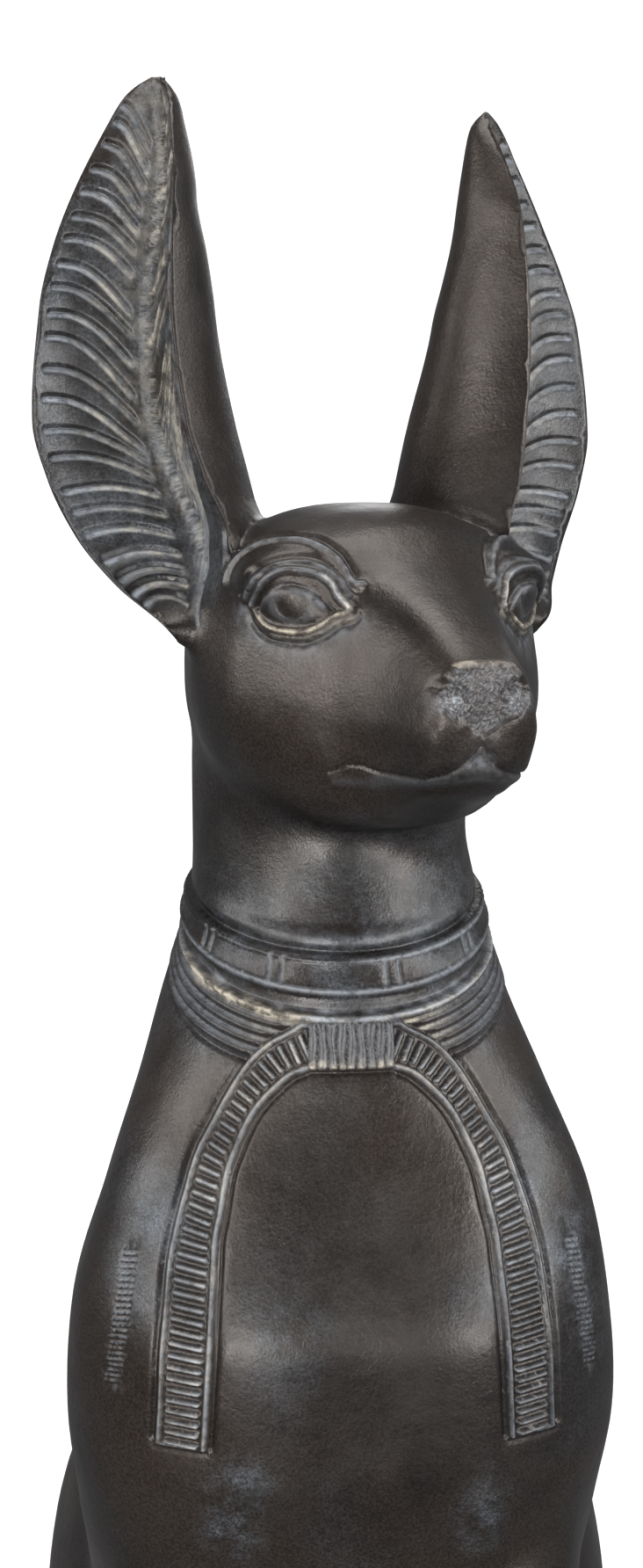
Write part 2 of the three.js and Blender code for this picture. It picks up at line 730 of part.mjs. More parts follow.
function makeKnot() {
  const rows = knotRibCount * 2;
  return skin(rows, 4, (row, share) => {
    const side = THREE.MathUtils.lerp(-knotHalfWidth, knotHalfWidth, row / rows);
    const rise = row % 2 === 1 ? knotRibRise : knotRise;
    const corner = [[knotFoot, -knotRoot], [knotFoot, rise], [knotTop, rise], [knotTop, -knotRoot]];
    const [height, out] = corner[Math.round(share * 4)];
    return bodyPlace(side, trunkFront(side, height) + out, height);
  });
}

// A solid from one of the ready-made geometries.
function solidOf(geometry) {
  const bare = geometry.index ? geometry.toNonIndexed() : geometry;
  bare.deleteAttribute('normal');
  bare.deleteAttribute('uv');
  const merged = mergeVertices(bare, 1e-4);
  const place = merged.attributes.position;
  const points = [];
  for (let i = 0; i < place.count; i += 1) points.push([place.getX(i), place.getY(i), place.getZ(i)]);
  const triangles = [];
  for (let i = 0; i < merged.index.count; i += 3) {
    const corner = [merged.index.getX(i), merged.index.getX(i + 1), merged.index.getX(i + 2)];
    if (new Set(corner).size === 3) triangles.push(corner);
  }
  return closedBody(points, triangles);
}

// Base: a low slab with rounded corners and a small bevel.
function makeBase() {
  const [halfX, halfY] = [baseWidth / 2 - baseEdgeBevel, baseDepth / 2 - baseEdgeBevel];
  const radius = baseCornerRadius - baseEdgeBevel;
  const outline = new THREE.Shape();
  outline.absarc(halfX - radius, halfY - radius, radius, 0, Math.PI / 2);
  outline.absarc(radius - halfX, halfY - radius, radius, Math.PI / 2, Math.PI);
  outline.absarc(radius - halfX, radius - halfY, radius, Math.PI, Math.PI * 1.5);
  outline.absarc(halfX - radius, radius - halfY, radius, Math.PI * 1.5, Math.PI * 2);
  outline.closePath();
  const slab = new THREE.ExtrudeGeometry(outline, {
    depth: baseHeight - 2 * baseEdgeBevel,
    bevelEnabled: true,
    bevelThickness: baseEdgeBevel,
    bevelSize: baseEdgeBevel,
    bevelSegments: 1,
    curveSegments: 2,
  });
  slab.translate(0, 0, baseEdgeBevel);
  return solidOf(slab);
}

const face = [makeMouthCut(-1), makeMouthCut(1), makeNostril(-1), makeNostril(1)];
const head = makeHead().subtract(wasm.Manifold.union(face));
const pieces = [makeBase(), makeTrunk(), head, makeTail(), makeCollar(), makeKnot()];
for (const hand of [-1, 1]) {
  pieces.push(makeEar(hand), makeForeleg(hand), makeHaunch(hand), makeRibbon(hand), ...makeEye(hand));
  const paws = makePaw(hand, frontPawSide, frontPawRows).add(makePaw(hand, hindPawSide, hindPawRows));
  const cuts = [...toeCuts(hand, frontPawSide, frontPawRows), ...toeCuts(hand, hindPawSide, hindPawRows)];
  pieces.push(paws.subtract(wasm.Manifold.union(cuts)));
}
const figure = wasm.Manifold.union(pieces);

function meshOf(solid, name, material) {
  const { vertProperties, triVerts } = solid.getMesh();
  const geometry = new THREE.BufferGeometry();
  geometry.setAttribute('position', new THREE.BufferAttribute(new Float32Array(vertProperties), 3));
  geometry.setIndex(new THREE.BufferAttribute(new Uint32Array(triVerts), 1));
  geometry.computeVertexNormals();
  const mesh = new THREE.Mesh(geometry, material);
  mesh.name = name;
  return mesh;
}

const darkCast = new THREE.MeshStandardMaterial({ color: 0x2b2724, roughness: 0.5, metalness: 0.1 });

const group = new THREE.Group();
group.add(meshOf(figure, 'jackal_figure', darkCast));

export default group;
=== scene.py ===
"""Seated jackal figure with tall carved ears, a banded collar and a barred ribbon, cast in one with its base.

Lengths of the figure are given in parts: a part is a thousandth of the height from the base to the ear tips.
Side runs to the figure's left, front to where its breast faces, height up from the top of the base.
"""

import bpy
import numpy as np
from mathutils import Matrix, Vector


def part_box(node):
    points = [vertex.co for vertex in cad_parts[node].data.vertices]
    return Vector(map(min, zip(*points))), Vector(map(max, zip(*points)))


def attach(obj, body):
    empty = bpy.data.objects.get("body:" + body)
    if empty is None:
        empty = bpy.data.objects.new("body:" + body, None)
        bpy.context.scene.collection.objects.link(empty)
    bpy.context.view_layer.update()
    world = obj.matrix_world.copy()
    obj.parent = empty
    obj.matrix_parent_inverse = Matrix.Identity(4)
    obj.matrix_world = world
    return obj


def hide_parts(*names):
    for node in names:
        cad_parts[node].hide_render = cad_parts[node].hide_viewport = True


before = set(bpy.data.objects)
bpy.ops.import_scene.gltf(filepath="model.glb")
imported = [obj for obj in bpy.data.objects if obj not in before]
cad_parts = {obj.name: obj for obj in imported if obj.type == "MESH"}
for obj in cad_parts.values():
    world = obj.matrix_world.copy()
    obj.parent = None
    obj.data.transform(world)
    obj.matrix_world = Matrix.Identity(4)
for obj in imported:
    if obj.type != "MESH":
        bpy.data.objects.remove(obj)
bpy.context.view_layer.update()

# Base
# The slab under the figure is resin stone, cast in one with it: square-sided, 28 mm thick, with round corners
# and a small bevel. It and every form above it is first built as a closed shell, and the shells are joined in
# the section on the casting.
CASTING = "jackal_figure"
lowest, highest = (np.array(corner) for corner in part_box(CASTING))
SLAB_HEIGHT = 0.028
SLAB_CORNER = 0.014
SLAB_BEVEL = 0.003
shells = []


def add_shell(points):
    """Keeps one closed shell: a grid of rings (rows, columns, 3) with each ring joined round and to the next
    one, and a point at the middle of the first and the last ring."""
    rows, columns = points.shape[:2]
    vertices = np.vstack([points.reshape(-1, 3), points[0].mean(axis=0), points[-1].mean(axis=0)])
    a = np.arange(rows * columns).reshape(rows, columns)
    b = np.roll(a, -1, axis=1)
    walls = np.stack([a[:-1], b[:-1], b[1:], a[:-1], b[1:], a[1:]], axis=-1).reshape(-1, 3)
    first = np.stack([np.full(columns, rows * columns), b[0], a[0]], axis=-1)
    last = np.stack([np.full(columns, rows * columns + 1), a[-1], b[-1]], axis=-1)
    shells.append((vertices, np.vstack([walls, first, last])))


def around(columns):
    """The angles of one ring, as a row."""
    return (np.arange(columns) / columns * 2 * np.pi)[None, :]


# Rows: height, share of the bevel that the side is set in by.
SLAB_ROWS = np.array([
    [0, 1], [SLAB_BEVEL, 0], [SLAB_HEIGHT / 2, 0], [SLAB_HEIGHT - SLAB_BEVEL, 0], [SLAB_HEIGHT, 1],
])
slab_turn = around(96)
slab_corner = SLAB_CORNER - SLAB_ROWS[:, 1:] * SLAB_BEVEL
slab_x, slab_y = (
    (reach - SLAB_CORNER) * np.sign(wave) + slab_corner * wave
    for reach, wave in ((highest[0], np.cos(slab_turn)), (highest[1], np.sin(slab_turn))))
slab_z = np.broadcast_to(SLAB_ROWS[:, :1], slab_x.shape)
add_shell(np.stack([slab_x, slab_y, slab_z], axis=-1))

# Trunk and neck
# One egg-like body, of the same resin stone, leans back from the breast to the rump and narrows to the neck.
# Its lower half runs down between the legs to the slab, as a casting's does.
NECK_AXIS_Y = -0.037
PART = (highest[2] - lowest[2] - SLAB_HEIGHT) / 1000
# The forms on the slab reach a little into it, and the neck ends inside the head.
SUNK = -5
NECK_TOP = 755
BREAST_SWELL = 2.5
BREAST_FURROW = 0.8


def body_place(side, front, height):
    """Metres from parts: each value times the part, counted from the neck axis and the top of the slab."""
    side, front, height = np.broadcast_arrays(side, front, height)
    return np.stack([side * PART, NECK_AXIS_Y - front * PART, SLAB_HEIGHT + height * PART], axis=-1)


def smooth_run(rows):
    """Values along a run of stations, each row being a place and its values. Between two rows each value is a
    cubic. Its slope at a row is the harmonic mean of the slopes beside it, or 0 at a high or low point."""
    rows = np.array(rows, dtype=float)
    place, value = rows[:, 0], rows[:, 1:]
    chord = np.diff(value, axis=0) / np.diff(place)[:, None]
    same_way = chord[:-1] * chord[1:] > 0
    slope = np.vstack([chord[:1], np.zeros_like(chord[1:]), chord[-1:]])
    both = np.where(same_way, chord[:-1] + chord[1:], 1)
    slope[1:-1] = np.where(same_way, 2 * chord[:-1] * chord[1:] / both, 0)

    def values_at(x):
        x = np.clip(np.asarray(x, dtype=float), place[0], place[-1])
        i = np.clip(np.searchsorted(place, x, side="right") - 1, 0, len(place) - 2)
        span = (place[i + 1] - place[i])[..., None]
        t = (x - place[i])[..., None] / span
        rise = value[i + 1] - value[i]
        start, end = slope[i] * span, slope[i + 1] * span
        run = value[i] + start * t + (3 * rise - 2 * start - end) * t**2 + (start + end - 2 * rise) * t**3
        return np.moveaxis(run, -1, 0)

    return values_at


def signed_power(value, power):
    """The size of a value raised to a power, with its sign kept."""
    return np.sign(value) * np.abs(value) ** power


def hump(*pairs):
    """A rounded hump: e to minus the sum of the squares of each distance over its reach."""
    return np.exp(-sum((distance / reach) ** 2 for distance, reach in pairs))


# Rows: height, half width, place of the widest line, front reach, back reach, squareness, middle.
trunk_at = smooth_run([
    [-5, 98, -90, 56, 246, 2.8, 0],
    [100, 108, -80, 56, 252, 2.8, 0],
    [200, 116, -50, 64, 222, 2.8, 0],
    [260, 120, -20, 80, 196, 2.6, 0],
    [310, 122, 5, 104, 173, 2.5, 0],
    [355, 124.5, 30, 122, 153, 2.5, -1],
    [400, 128.5, 44, 130, 135, 2.4, -0.5],
    [450, 124.5, 58, 131, 119, 2.3, -1.5],
    [505, 111.5, 56, 112, 102, 2.2, 1.5],
    [550, 95, 30, 95, 90, 2.1, 1],
    [590, 81, 3, 84, 80, 2.05, 0],
    [633, 68.5, 0, 70, 71, 2, 0],
    [664, 65, 0, 63, 68, 2, -2],
    [700, 66, 0, 60, 69, 2, -1],
    [755, 50, 0, 36, 56, 2, 0],
])


def breast_rise(side, height):
    """Two soft swells on the breast less a furrow between them, each a hump."""
    swell = BREAST_SWELL * hump((np.abs(side) - 50, 34), (height - 470, 70))
    return swell - BREAST_FURROW * hump((side, 16), (height - 400, 80))


trunk_height = np.linspace(SUNK, NECK_TOP, 150)[:, None]
half_width, widest, front_reach, back_reach, square, middle = trunk_at(trunk_height)
trunk_turn = around(120)
trunk_side = middle + half_width * signed_power(np.cos(trunk_turn), 2 / square)
trunk_depth = signed_power(np.sin(trunk_turn), 2 / square)
to_front = widest + (front_reach - widest + breast_rise(trunk_side, trunk_height)) * trunk_depth
to_back = widest + (back_reach + widest) * trunk_depth
add_shell(body_place(trunk_side, np.where(trunk_depth < 0, to_back, to_front), trunk_height))

# Forelegs
# Two straight posts under the shoulders, modelled with the trunk and cast in one with it. They widen upwards
# until they run into the breast.
# Rows: height, middle to the side, middle to the front, half width, half depth.
foreleg_at = smooth_run([
    [-5, 56, 82, 31, 34],
    [60, 55, 80, 28, 31],
    [120, 56, 77, 30, 33],
    [200, 59, 72, 37, 39],
    [270, 62, 66, 43, 46],
    [330, 66, 60, 46, 52],
    [380, 68, 56, 44, 50],
])
FORELEG_TOP = 380
for hand in (-1, 1):
    height = np.linspace(SUNK, FORELEG_TOP, 60)[:, None]
    leg_side, leg_front, half_width, half_depth = foreleg_at(height)
    turn = around(48)
    side = hand * (leg_side + half_width * np.cos(turn))
    add_shell(body_place(side, leg_front + half_depth * np.sin(turn), height))

# Paws
# Each paw runs forward along the slab, flat below, and is cast in one with its leg. The cuts between the toes
# are made further down, once the forms are joined.
FORE_PAW_SIDE = 56
HIND_PAW_SIDE = 112
TOE_GAPS = (-16, 0, 16)
# Rows: front, half width, top height.
FORE_PAW = [[40, 29, 30], [90, 33, 46], [125, 37, 40], [148, 34, 27], [158, 20, 8]]
HIND_PAW = [[-110, 22, 26], [-40, 25, 34], [30, 27, 36], [72, 30, 30], [92, 27, 20], [100, 16, 6]]


def add_paw(hand, paw_side, rows):
    """Rings across the paw, flat below and squarely rounded above, closer together towards the toes."""
    paw_at = smooth_run(rows)
    start, end = rows[0][0], rows[-1][0]
    front = start + (end - start) * np.sin(np.linspace(0, np.pi / 2, 50))[:, None]
    half_width, top = paw_at(front)
    turn = around(48)
    up = np.sin(turn)
    side = hand * (paw_side + half_width * signed_power(np.cos(turn), 0.75))
    add_shell(body_place(side, front, np.where(up > 0, top * up, -SUNK * up)))


for hand in (-1, 1):
    add_paw(hand, FORE_PAW_SIDE, FORE_PAW)
    add_paw(hand, HIND_PAW_SIDE, HIND_PAW)

# Haunches
# The folded thighs are full, egg-like masses against the trunk, each with the knee before it. They are
# modelled onto the trunk and cast with it.
HAUNCH_FULLNESS = 0.62
HAUNCH_SHIFT = 6


def add_mass(hand, middle, reach, up, down):
    """An egg: rings whose girth is the cosine of the slope to a power under one, so that it is fuller."""
    slope = (np.pi * np.linspace(0.03, 0.97, 50) - np.pi / 2)[:, None]
    turn = around(64)
    girth = np.cos(slope) ** HAUNCH_FULLNESS
    side = HAUNCH_SHIFT + hand * (middle[0] + reach[0] * girth * np.cos(turn))
    front = middle[1] + reach[1] * girth * np.sin(turn)
    height = middle[2] + np.where(slope > 0, up, down) * np.sin(slope)
    add_shell(body_place(side, front, np.maximum(height, SUNK)))


for hand in (-1, 1):
    add_mass(hand, middle=(84, -108, 185), reach=(73, 126), up=143, down=230)
    add_mass(hand, middle=(98, -12, 96), reach=(43, 66), up=92, down=130)

# Tail
# The tail lies on the slab and comes round from the rump along the figure's left side. It thins to a round
# tip and is cast in one with the slab.
TAIL_RADIUS = 15
TAIL_TAPER = 0.25
# Rows: share of the tail's length, side, front, height.
tail_at = smooth_run([
    [0, 10, -236, 26],
    [0.16, 70, -232, 14],
    [0.34, 128, -190, 12],
    [0.56, 150, -110, 12],
    [0.79, 150, -30, 12],
    [1, 146, 40, 12],
])
share = np.linspace(0, 1, 70)[:, None]
side, front, height = tail_at(share)
ahead = np.stack([np.gradient(side[:, 0]), np.gradient(front[:, 0])])
ahead /= np.hypot(*ahead)
radius = TAIL_RADIUS * (1 - TAIL_TAPER * share) * np.sqrt(np.clip((1.02 - share) / 0.1, 0, 1))
turn = around(24)
across = radius * np.cos(turn)
tail_height = np.maximum(height + radius * np.sin(turn), SUNK)
add_shell(body_place(side + ahead[1][:, None] * across, front - ahead[0][:, None] * across, tail_height))

# Head
# The head is cast in one with the neck and turned 17 degrees to the figure's left. Rings stand across its own
# axis, from nape to muzzle.
HEAD_TURN = np.radians(17)
CHEEKS_AHEAD = 43
CHIN_DROP = 60
HEAD_LEVEL = 740
NAPE, MUZZLE_TIP, RING_CROWDING = -106, 123, 1.35
BROW_RISE, BROW_AHEAD, CHEEK_RISE = 18, 0.35, 3
# Rows: front, half width, top, height of the widest line, bottom, squareness, top taper, lean back.
head_at = smooth_run([
    [-106, 14, 6, -18, -40, 2, 0, 0],
    [-97, 42, 24, -16, -54, 2, 0, 0],
    [-70, 64, 53, -5, -68, 2.3, 0, 0],
    [-40, 74, 70, 2, -68, 2.5, 0, 0],
    [-8, 80, 75, 5, -69, 2.5, 0.02, 0],
    [18, 74, 73, 3, -68, 2.4, 0.05, 0],
    [38, 62.5, 66, -2, -66, 2.4, 0.08, 0],
    [56, 50, 52, -9, -62.5, 2.5, 0.16, 0],
    [70, 41, 43, -12, -60, 2.9, 0.24, 0.06],
    [90, 33, 31, -14, -55.5, 3.3, 0.32, 0.16],
    [108, 28.5, 20, -15, -50, 3.5, 0.34, 0.3],
    [117, 26, 15, -16, -46, 3.5, 0.34, 0.36],
    [121, 22.5, 13, -16, -42, 3.3, 0.34, 0.36],
    [123, 14, 8, -14, -34, 3, 0.3, 0.36],
])


def body_parts(points):
    """Side, front and height in parts from places in metres: the reverse of body_place."""
    return points[:, 0] / PART, (NECK_AXIS_Y - points[:, 1]) / PART, (points[:, 2] - SLAB_HEIGHT) / PART


def head_place(side, front, height):
    """Metres from the head's own parts: turned about the neck axis and lifted to the cheeks' level."""
    ahead = CHEEKS_AHEAD + front
    body_side = side * np.cos(HEAD_TURN) + ahead * np.sin(HEAD_TURN)
    return body_place(body_side, ahead * np.cos(HEAD_TURN) - side * np.sin(HEAD_TURN), HEAD_LEVEL + height)


def head_parts(points):
    """The head's own side, front and height from places in metres: the reverse of head_place."""
    side, front, height = body_parts(points)
    ahead = side * np.sin(HEAD_TURN) + front * np.cos(HEAD_TURN)
    return side * np.cos(HEAD_TURN) - front * np.sin(HEAD_TURN), ahead - CHEEKS_AHEAD, height - HEAD_LEVEL


def brow_fullness(across, front, height):
    """How far the head is swollen over and beside the eye: a hump."""
    return BROW_RISE * hump((across - 58, 28), (front - 38, 26), (height - 50, 16))


def head_skin(front, turn):
    """A squarish oval ring, narrower towards its top, swollen at the brows and cheeks, and set back at the
    chin by the square of the drop below its top."""
    half_width, top, widest, bottom, square, taper, lean = head_at(front)
    up = signed_power(np.sin(turn), 2 / square)
    side = half_width * signed_power(np.cos(turn), 2 / square) * (1 - taper * np.maximum(up, 0))
    height = widest + np.where(up > 0, top - widest, widest - bottom) * up
    across = np.abs(side)
    brow = brow_fullness(across, front, height)
    cheek = CHEEK_RISE * hump((across - 72, 34), (front - 30, 26), (height + 18, 24))
    set_back = lean * (top - height) ** 2 / CHIN_DROP
    return side + (cheek + brow) * np.sign(side), front + BROW_AHEAD * brow - set_back, height


ring_share = np.linspace(0, 1, 130)[:, None]
ring_front = NAPE + (MUZZLE_TIP - NAPE) * (1 - (1 - ring_share) ** RING_CROWDING)
add_shell(head_place(*head_skin(ring_front, around(144))))

# Ears
# Two tall leaves, hollow to the outside front and cast in one with the head. The crest is the front edge, the
# rim the outer edge.
# Rows: height, rim side and front, crest side and front, depth of the hollow, and the bend of the leaf's back
# behind the crest: its place along and its depth, both as shares of the ear's width.
ear_at = smooth_run([
    [2, 76, -14, 62, -6, 0.1, -0.1, 1.1],
    [20, 93, -6, 76, 4, 0.2, -0.1, 1.2],
    [38, 109, -29, 70, 6, 0.34, -0.1, 1.3],
    [60, 123.5, -44, 68, 4, 0.36, -0.13, 1.31],
    [85, 134.5, -49, 76.5, -2, 0.39, -0.36, 1.29],
    [110, 140, -52, 82.5, -8, 0.4, -0.48, 1.27],
    [160, 135, -55, 87, -14, 0.4, -0.45, 1.16],
    [185, 128, -58, 86, -16, 0.39, -0.3, 1.02],
    [210, 117.5, -60, 84, -19, 0.37, -0.07, 0.9],
    [240, 101.5, -59, 80.5, -33, 0.3, -0.12, 0.81],
    [252, 94, -57, 79, -42, 0.2, -0.33, 0.75],
    [260, 85, -51.5, 79.5, -47, 0.1, -0.2, 0.8],
])
# The hollow's section in shares of the ear's width: along from crest to rim, and out of the hollow.
hollow_section = smooth_run([
    [0, 0, 0],
    [1, 0.17, -0.45],
    [2, 0.36, -1],
    [3, 0.58, -0.76],
    [4, 0.82, -0.42],
    [5, 1, 0],
])
LEAF_STOPS = 7
RIM_BEND = (0.85, 1.05)
LEFT_EAR_SHARE = 0.985
EAR_ROOT, EAR_SHOULDER, EAR_TIP = 2, 256, 261

HEAD_HALF_WIDTH = 65
# The rims are too thin for the even skin below, so the ears are swollen for it and brought back later.
SWOLLEN_BY = 3.2


def ease(value, low, high):
    """0 below low, 1 above high, and a smooth S between them: 3t squared minus 2t cubed."""
    t = np.clip((value - low) / (high - low), 0, 1)
    return t * t * (3 - 2 * t)


def ear_height(hand, height):
    """The right ear's height that belongs to a height on either ear; the left ear is a little lower."""
    return height if hand < 0 else EAR_ROOT + (height - EAR_ROOT) / LEFT_EAR_SHARE


def ear_shell(hand, rows, columns):
    """Rings round an ear, closer together towards its tip. Each ring crosses the hollow on its section from
    crest to rim and comes back on a cubic curve, drawn out by one bend behind the rim and one behind the
    crest. Above the shoulder the rings close in as a quarter of a circle does."""
    row = np.linspace(0, 1, rows)[:, None]
    height = EAR_ROOT + (EAR_TIP - EAR_ROOT) * (1 - (1 - row) ** 1.6)
    rim_side, rim_front, crest_side, crest_front, hollow, bend_along, bend_depth = ear_at(height)
    stop = (np.arange(columns) / columns * (5 + LEAF_STOPS))[None, :]
    along, out = hollow_section(np.minimum(stop, 5))
    t = np.clip((stop - 5) / LEAF_STOPS, 0, 1)
    from_rim, by_rim, by_crest = (1 - t) ** 3, 3 * t * (1 - t) ** 2, 3 * t * t * (1 - t)
    back_along = from_rim + by_rim * RIM_BEND[0] + by_crest * bend_along
    back_out = -(by_rim * RIM_BEND[1] + by_crest) * bend_depth
    along, out = np.where(stop > 5, back_along, along), np.where(stop > 5, back_out, out * hollow)
    side = crest_side + (rim_side - crest_side) * along - (rim_front - crest_front) * out
    front = crest_front + (rim_front - crest_front) * along + (rim_side - crest_side) * out
    rounded = np.sqrt(1 - 0.98 * np.clip((height - EAR_SHOULDER) / (EAR_TIP - EAR_SHOULDER), 0, 1) ** 2)
    middles = (values.mean(axis=1, keepdims=True) for values in (side, front))
    side, front = (middle + (values - middle) * rounded for middle, values in zip(middles, (side, front)))
    scaled = height if hand < 0 else EAR_ROOT + (height - EAR_ROOT) * LEFT_EAR_SHARE
    return head_place(hand * side, front, scaled)


def clear_of_head(points):
    """How far places stand off the head's skin, in parts: the share by which its squarish oval ring has to
    grow to reach a place, less one, times the ring's usual half width."""
    side, front, height = head_parts(points)
    half_width, top, widest, bottom, square, taper, _ = head_at(front)
    up = (height - widest) / np.where(height > widest, top - widest, widest - bottom)
    across = np.maximum(np.abs(side) - brow_fullness(np.abs(side), front, height), 0)
    across = across / (half_width * (1 - taper * np.clip(up, 0, 1)))
    return ((across**square + np.abs(up) ** square) ** (1 / square) - 1) * HEAD_HALF_WIDTH


def normals_of(points, triangles):
    """Outward directions at the vertices: the sum of the triangles' area normals round each, made unit."""
    a, b, c = (points[triangles[:, k]] for k in range(3))
    area = np.cross(b - a, c - a)
    total = np.stack([
        sum(np.bincount(triangles[:, k], area[:, axis], len(points)) for k in range(3)) for axis in range(3)
    ], axis=-1)
    return total / np.maximum(np.linalg.norm(total, axis=1, keepdims=True), 1e-12)


for hand in (-1, 1):
    add_shell(ear_shell(hand, 200, 120))
    vertices, triangles = shells.pop()
    outward = normals_of(vertices, triangles)
    outward *= np.sign((outward * (vertices - vertices.mean(axis=0))).sum())
    swelling = SWOLLEN_BY * PART * ease(clear_of_head(vertices), 2, 10)
    shells.append((vertices + swelling[:, None] * outward, triangles))

# Casting
# The shells are joined into one skin of small even squares, and the corners between them are filled and
# smoothed, as a sculptor blends clay before the mould is made.
SKIN_PITCH = 0.0018
CORNER_ROUNDS = 40
FINE_SIDE, FINEST_SIDE = 0.0014, 0.0008
HOLLOW_DEPTH = 0.62
CUTS = {
    1: ([0, 3, 2], [3, 1, 2]),
    2: ([3, 1, 4], [0, 3, 4], [0, 4, 2]),
    3: ([0, 3, 5], [3, 1, 4], [5, 4, 2], [3, 4, 5]),
}


def mesh_from(name, vertices, triangles):
    """A mesh of triangles, from whole arrays."""
    mesh = bpy.data.meshes.new(name)
    mesh.vertices.add(len(vertices))
    mesh.vertices.foreach_set("co", np.ascontiguousarray(vertices, dtype=np.float32).ravel())
    mesh.loops.add(triangles.size)
    mesh.loops.foreach_set("vertex_index", np.ascontiguousarray(triangles, dtype=np.int32).ravel())
    mesh.polygons.add(len(triangles))
    mesh.polygons.foreach_set("loop_start", np.arange(0, triangles.size, 3, dtype=np.int32))
    mesh.update(calc_edges=True)
    mesh.validate()
    return mesh


def joined(shells):
    """All shells as one list of vertices and one of triangles, their numbers moved on from shell to shell."""
    starts = np.cumsum([0] + [len(vertices) for vertices, _ in shells[:-1]])
    triangles = [triangles + start for (_, triangles), start in zip(shells, starts)]
    return np.vstack([vertices for vertices, _ in shells]), np.vstack(triangles)


def put_in(name, data):
    """A new object in the scene, with its data."""
    piece = bpy.data.objects.new(name, data)
    bpy.context.collection.objects.link(piece)
    return piece


def finished(piece, **modifier):
    """The piece's mesh after one modifier, and the modifier's work kept."""
    kind = modifier.pop("kind")
    step = piece.modifiers.new(kind.title(), kind)
    for key, value in modifier.items():
        setattr(step, key, value)
    evaluated = piece.evaluated_get(bpy.context.evaluated_depsgraph_get())
    mesh = bpy.data.meshes.new_from_object(evaluated)
    piece.modifiers.clear()
    piece.data = mesh
    return mesh


def places_of(mesh):
    """The places of a mesh's vertices."""
    places = np.empty(len(mesh.vertices) * 3, dtype=np.float32)
    mesh.vertices.foreach_get("co", places)
    return places.reshape(-1, 3)


def arrays_of(mesh):
    """Vertices and triangles of a mesh; a square is cut along its shorter diagonal."""
    points = places_of(mesh).astype(float)
    corners = np.empty(len(mesh.loops), dtype=np.int32)
    mesh.loops.foreach_get("vertex_index", corners)
    sizes = np.empty(len(mesh.polygons), dtype=np.int32)
    mesh.polygons.foreach_get("loop_total", sizes)
    starts = np.concatenate([[0], np.cumsum(sizes)[:-1]])
    three = corners[starts[sizes == 3][:, None] + np.arange(3)]
    four = corners[starts[sizes == 4][:, None] + np.arange(4)]
    first = np.linalg.norm(points[four[:, 0]] - points[four[:, 2]], axis=1)
    second = np.linalg.norm(points[four[:, 1]] - points[four[:, 3]], axis=1)
    near = (first <= second)[:, None]
    one = np.where(near, four[:, [0, 1, 2]], four[:, [0, 1, 3]])
    other = np.where(near, four[:, [0, 2, 3]], four[:, [1, 2, 3]])
    return points, np.vstack([three, one, other])


def edges_of(triangles):
    """Each edge once, as pairs of vertices, and which edge every side of every triangle is."""
    sides = np.sort(np.stack([triangles, np.roll(triangles, -1, axis=1)], axis=-1).reshape(-1, 2), axis=1)
    key = sides[:, 0].astype(np.int64) * (triangles.max() + 1) + sides[:, 1]
    _, first, side_edge = np.unique(key, return_index=True, return_inverse=True)
    return sides[first], side_edge.reshape(-1, 3)


def toward_neighbours(points, edges):
    """For each vertex the step from it to the mean of its neighbours."""
    one, other = edges.T
    count = np.bincount(one, minlength=len(points)) + np.bincount(other, minlength=len(points))
    mean = np.stack([
        np.bincount(one, points[other, k], len(points)) + np.bincount(other, points[one, k], len(points))
        for k in range(3)
    ], axis=-1)
    return mean / np.maximum(count, 1)[:, None] - points


def evened(points, edges, rounds, share=None):
    """Even smoothing without shrinking: each round moves half of the step in, then a little more of the new
    step out."""
    weight = 1 if share is None else share[:, None]
    for _ in range(rounds):
        for part_of_step in (0.5, -0.53):
            points = points + part_of_step * weight * toward_neighbours(points, edges)
    return points


casting = put_in("cast_jackal", mesh_from("cast_jackal", *joined(shells)))
skin_mesh = finished(casting, kind="REMESH", mode="VOXEL", voxel_size=SKIN_PITCH, adaptivity=0)
points, triangles = arrays_of(skin_mesh)
edges, _ = edges_of(triangles)


def ear_coordinates(points, hand):
    """On one ear: the height, the share from crest to rim, the distance out of the hollow, the width."""
    side, front, height = head_parts(points)
    height = ear_height(hand, height)
    rim_side, rim_front, crest_side, crest_front = ear_at(height)[:4]
    across_side, across_front = rim_side - crest_side, rim_front - crest_front
    width = np.hypot(across_side, across_front)
    from_side, from_front = hand * side - crest_side, front - crest_front
    along = (from_side * across_side + from_front * across_front) / width**2
    out = (from_front * across_side - from_side * across_front) / width
    return height, along, out, width


def fill_inner_corners(points, triangles, edges, rounds, kept):
    """Where the step to the neighbours' mean points outwards the skin is hollow: it rises by that step, so
    each corner between two shells becomes a fillet. kept is 0 where a hollow is meant."""
    for done in range(rounds):
        if done % 8 == 0:
            normals = normals_of(points, triangles)
        step = (toward_neighbours(points, edges) * normals).sum(axis=1)
        points = points + normals * (kept * np.maximum(step, 0))[:, None]
    return points


def ear_share(points, low, high):
    """How much of an ear a place is: 0 up to one distance off the head's skin and 1 from another on, and 0
    before the brow, low on the head and behind the nape."""
    _, front, height = head_parts(points)
    return ease(clear_of_head(points), low, high) * (1 - ease(front, 9, 15)) * (height > 8) * (front > -90)


side, front, height = head_parts(points)
on_ear = ear_share(points, 3, 10)
at_ear_root = (hump((np.abs(side) - 70, 40), (front + 20, 50)) > 0.3) * ease(height, 20, 45)
clear_of_slab = ease((points[:, 2] - SLAB_HEIGHT) / PART, -2, 2)
points = evened(points, edges, 3)
filled = (1 - 0.9 * np.maximum(on_ear, at_ear_root)) * clear_of_slab
points = fill_inner_corners(points, triangles, edges, CORNER_ROUNDS, filled)
points = evened(points, edges, 6, 1 - 0.7 * on_ear)


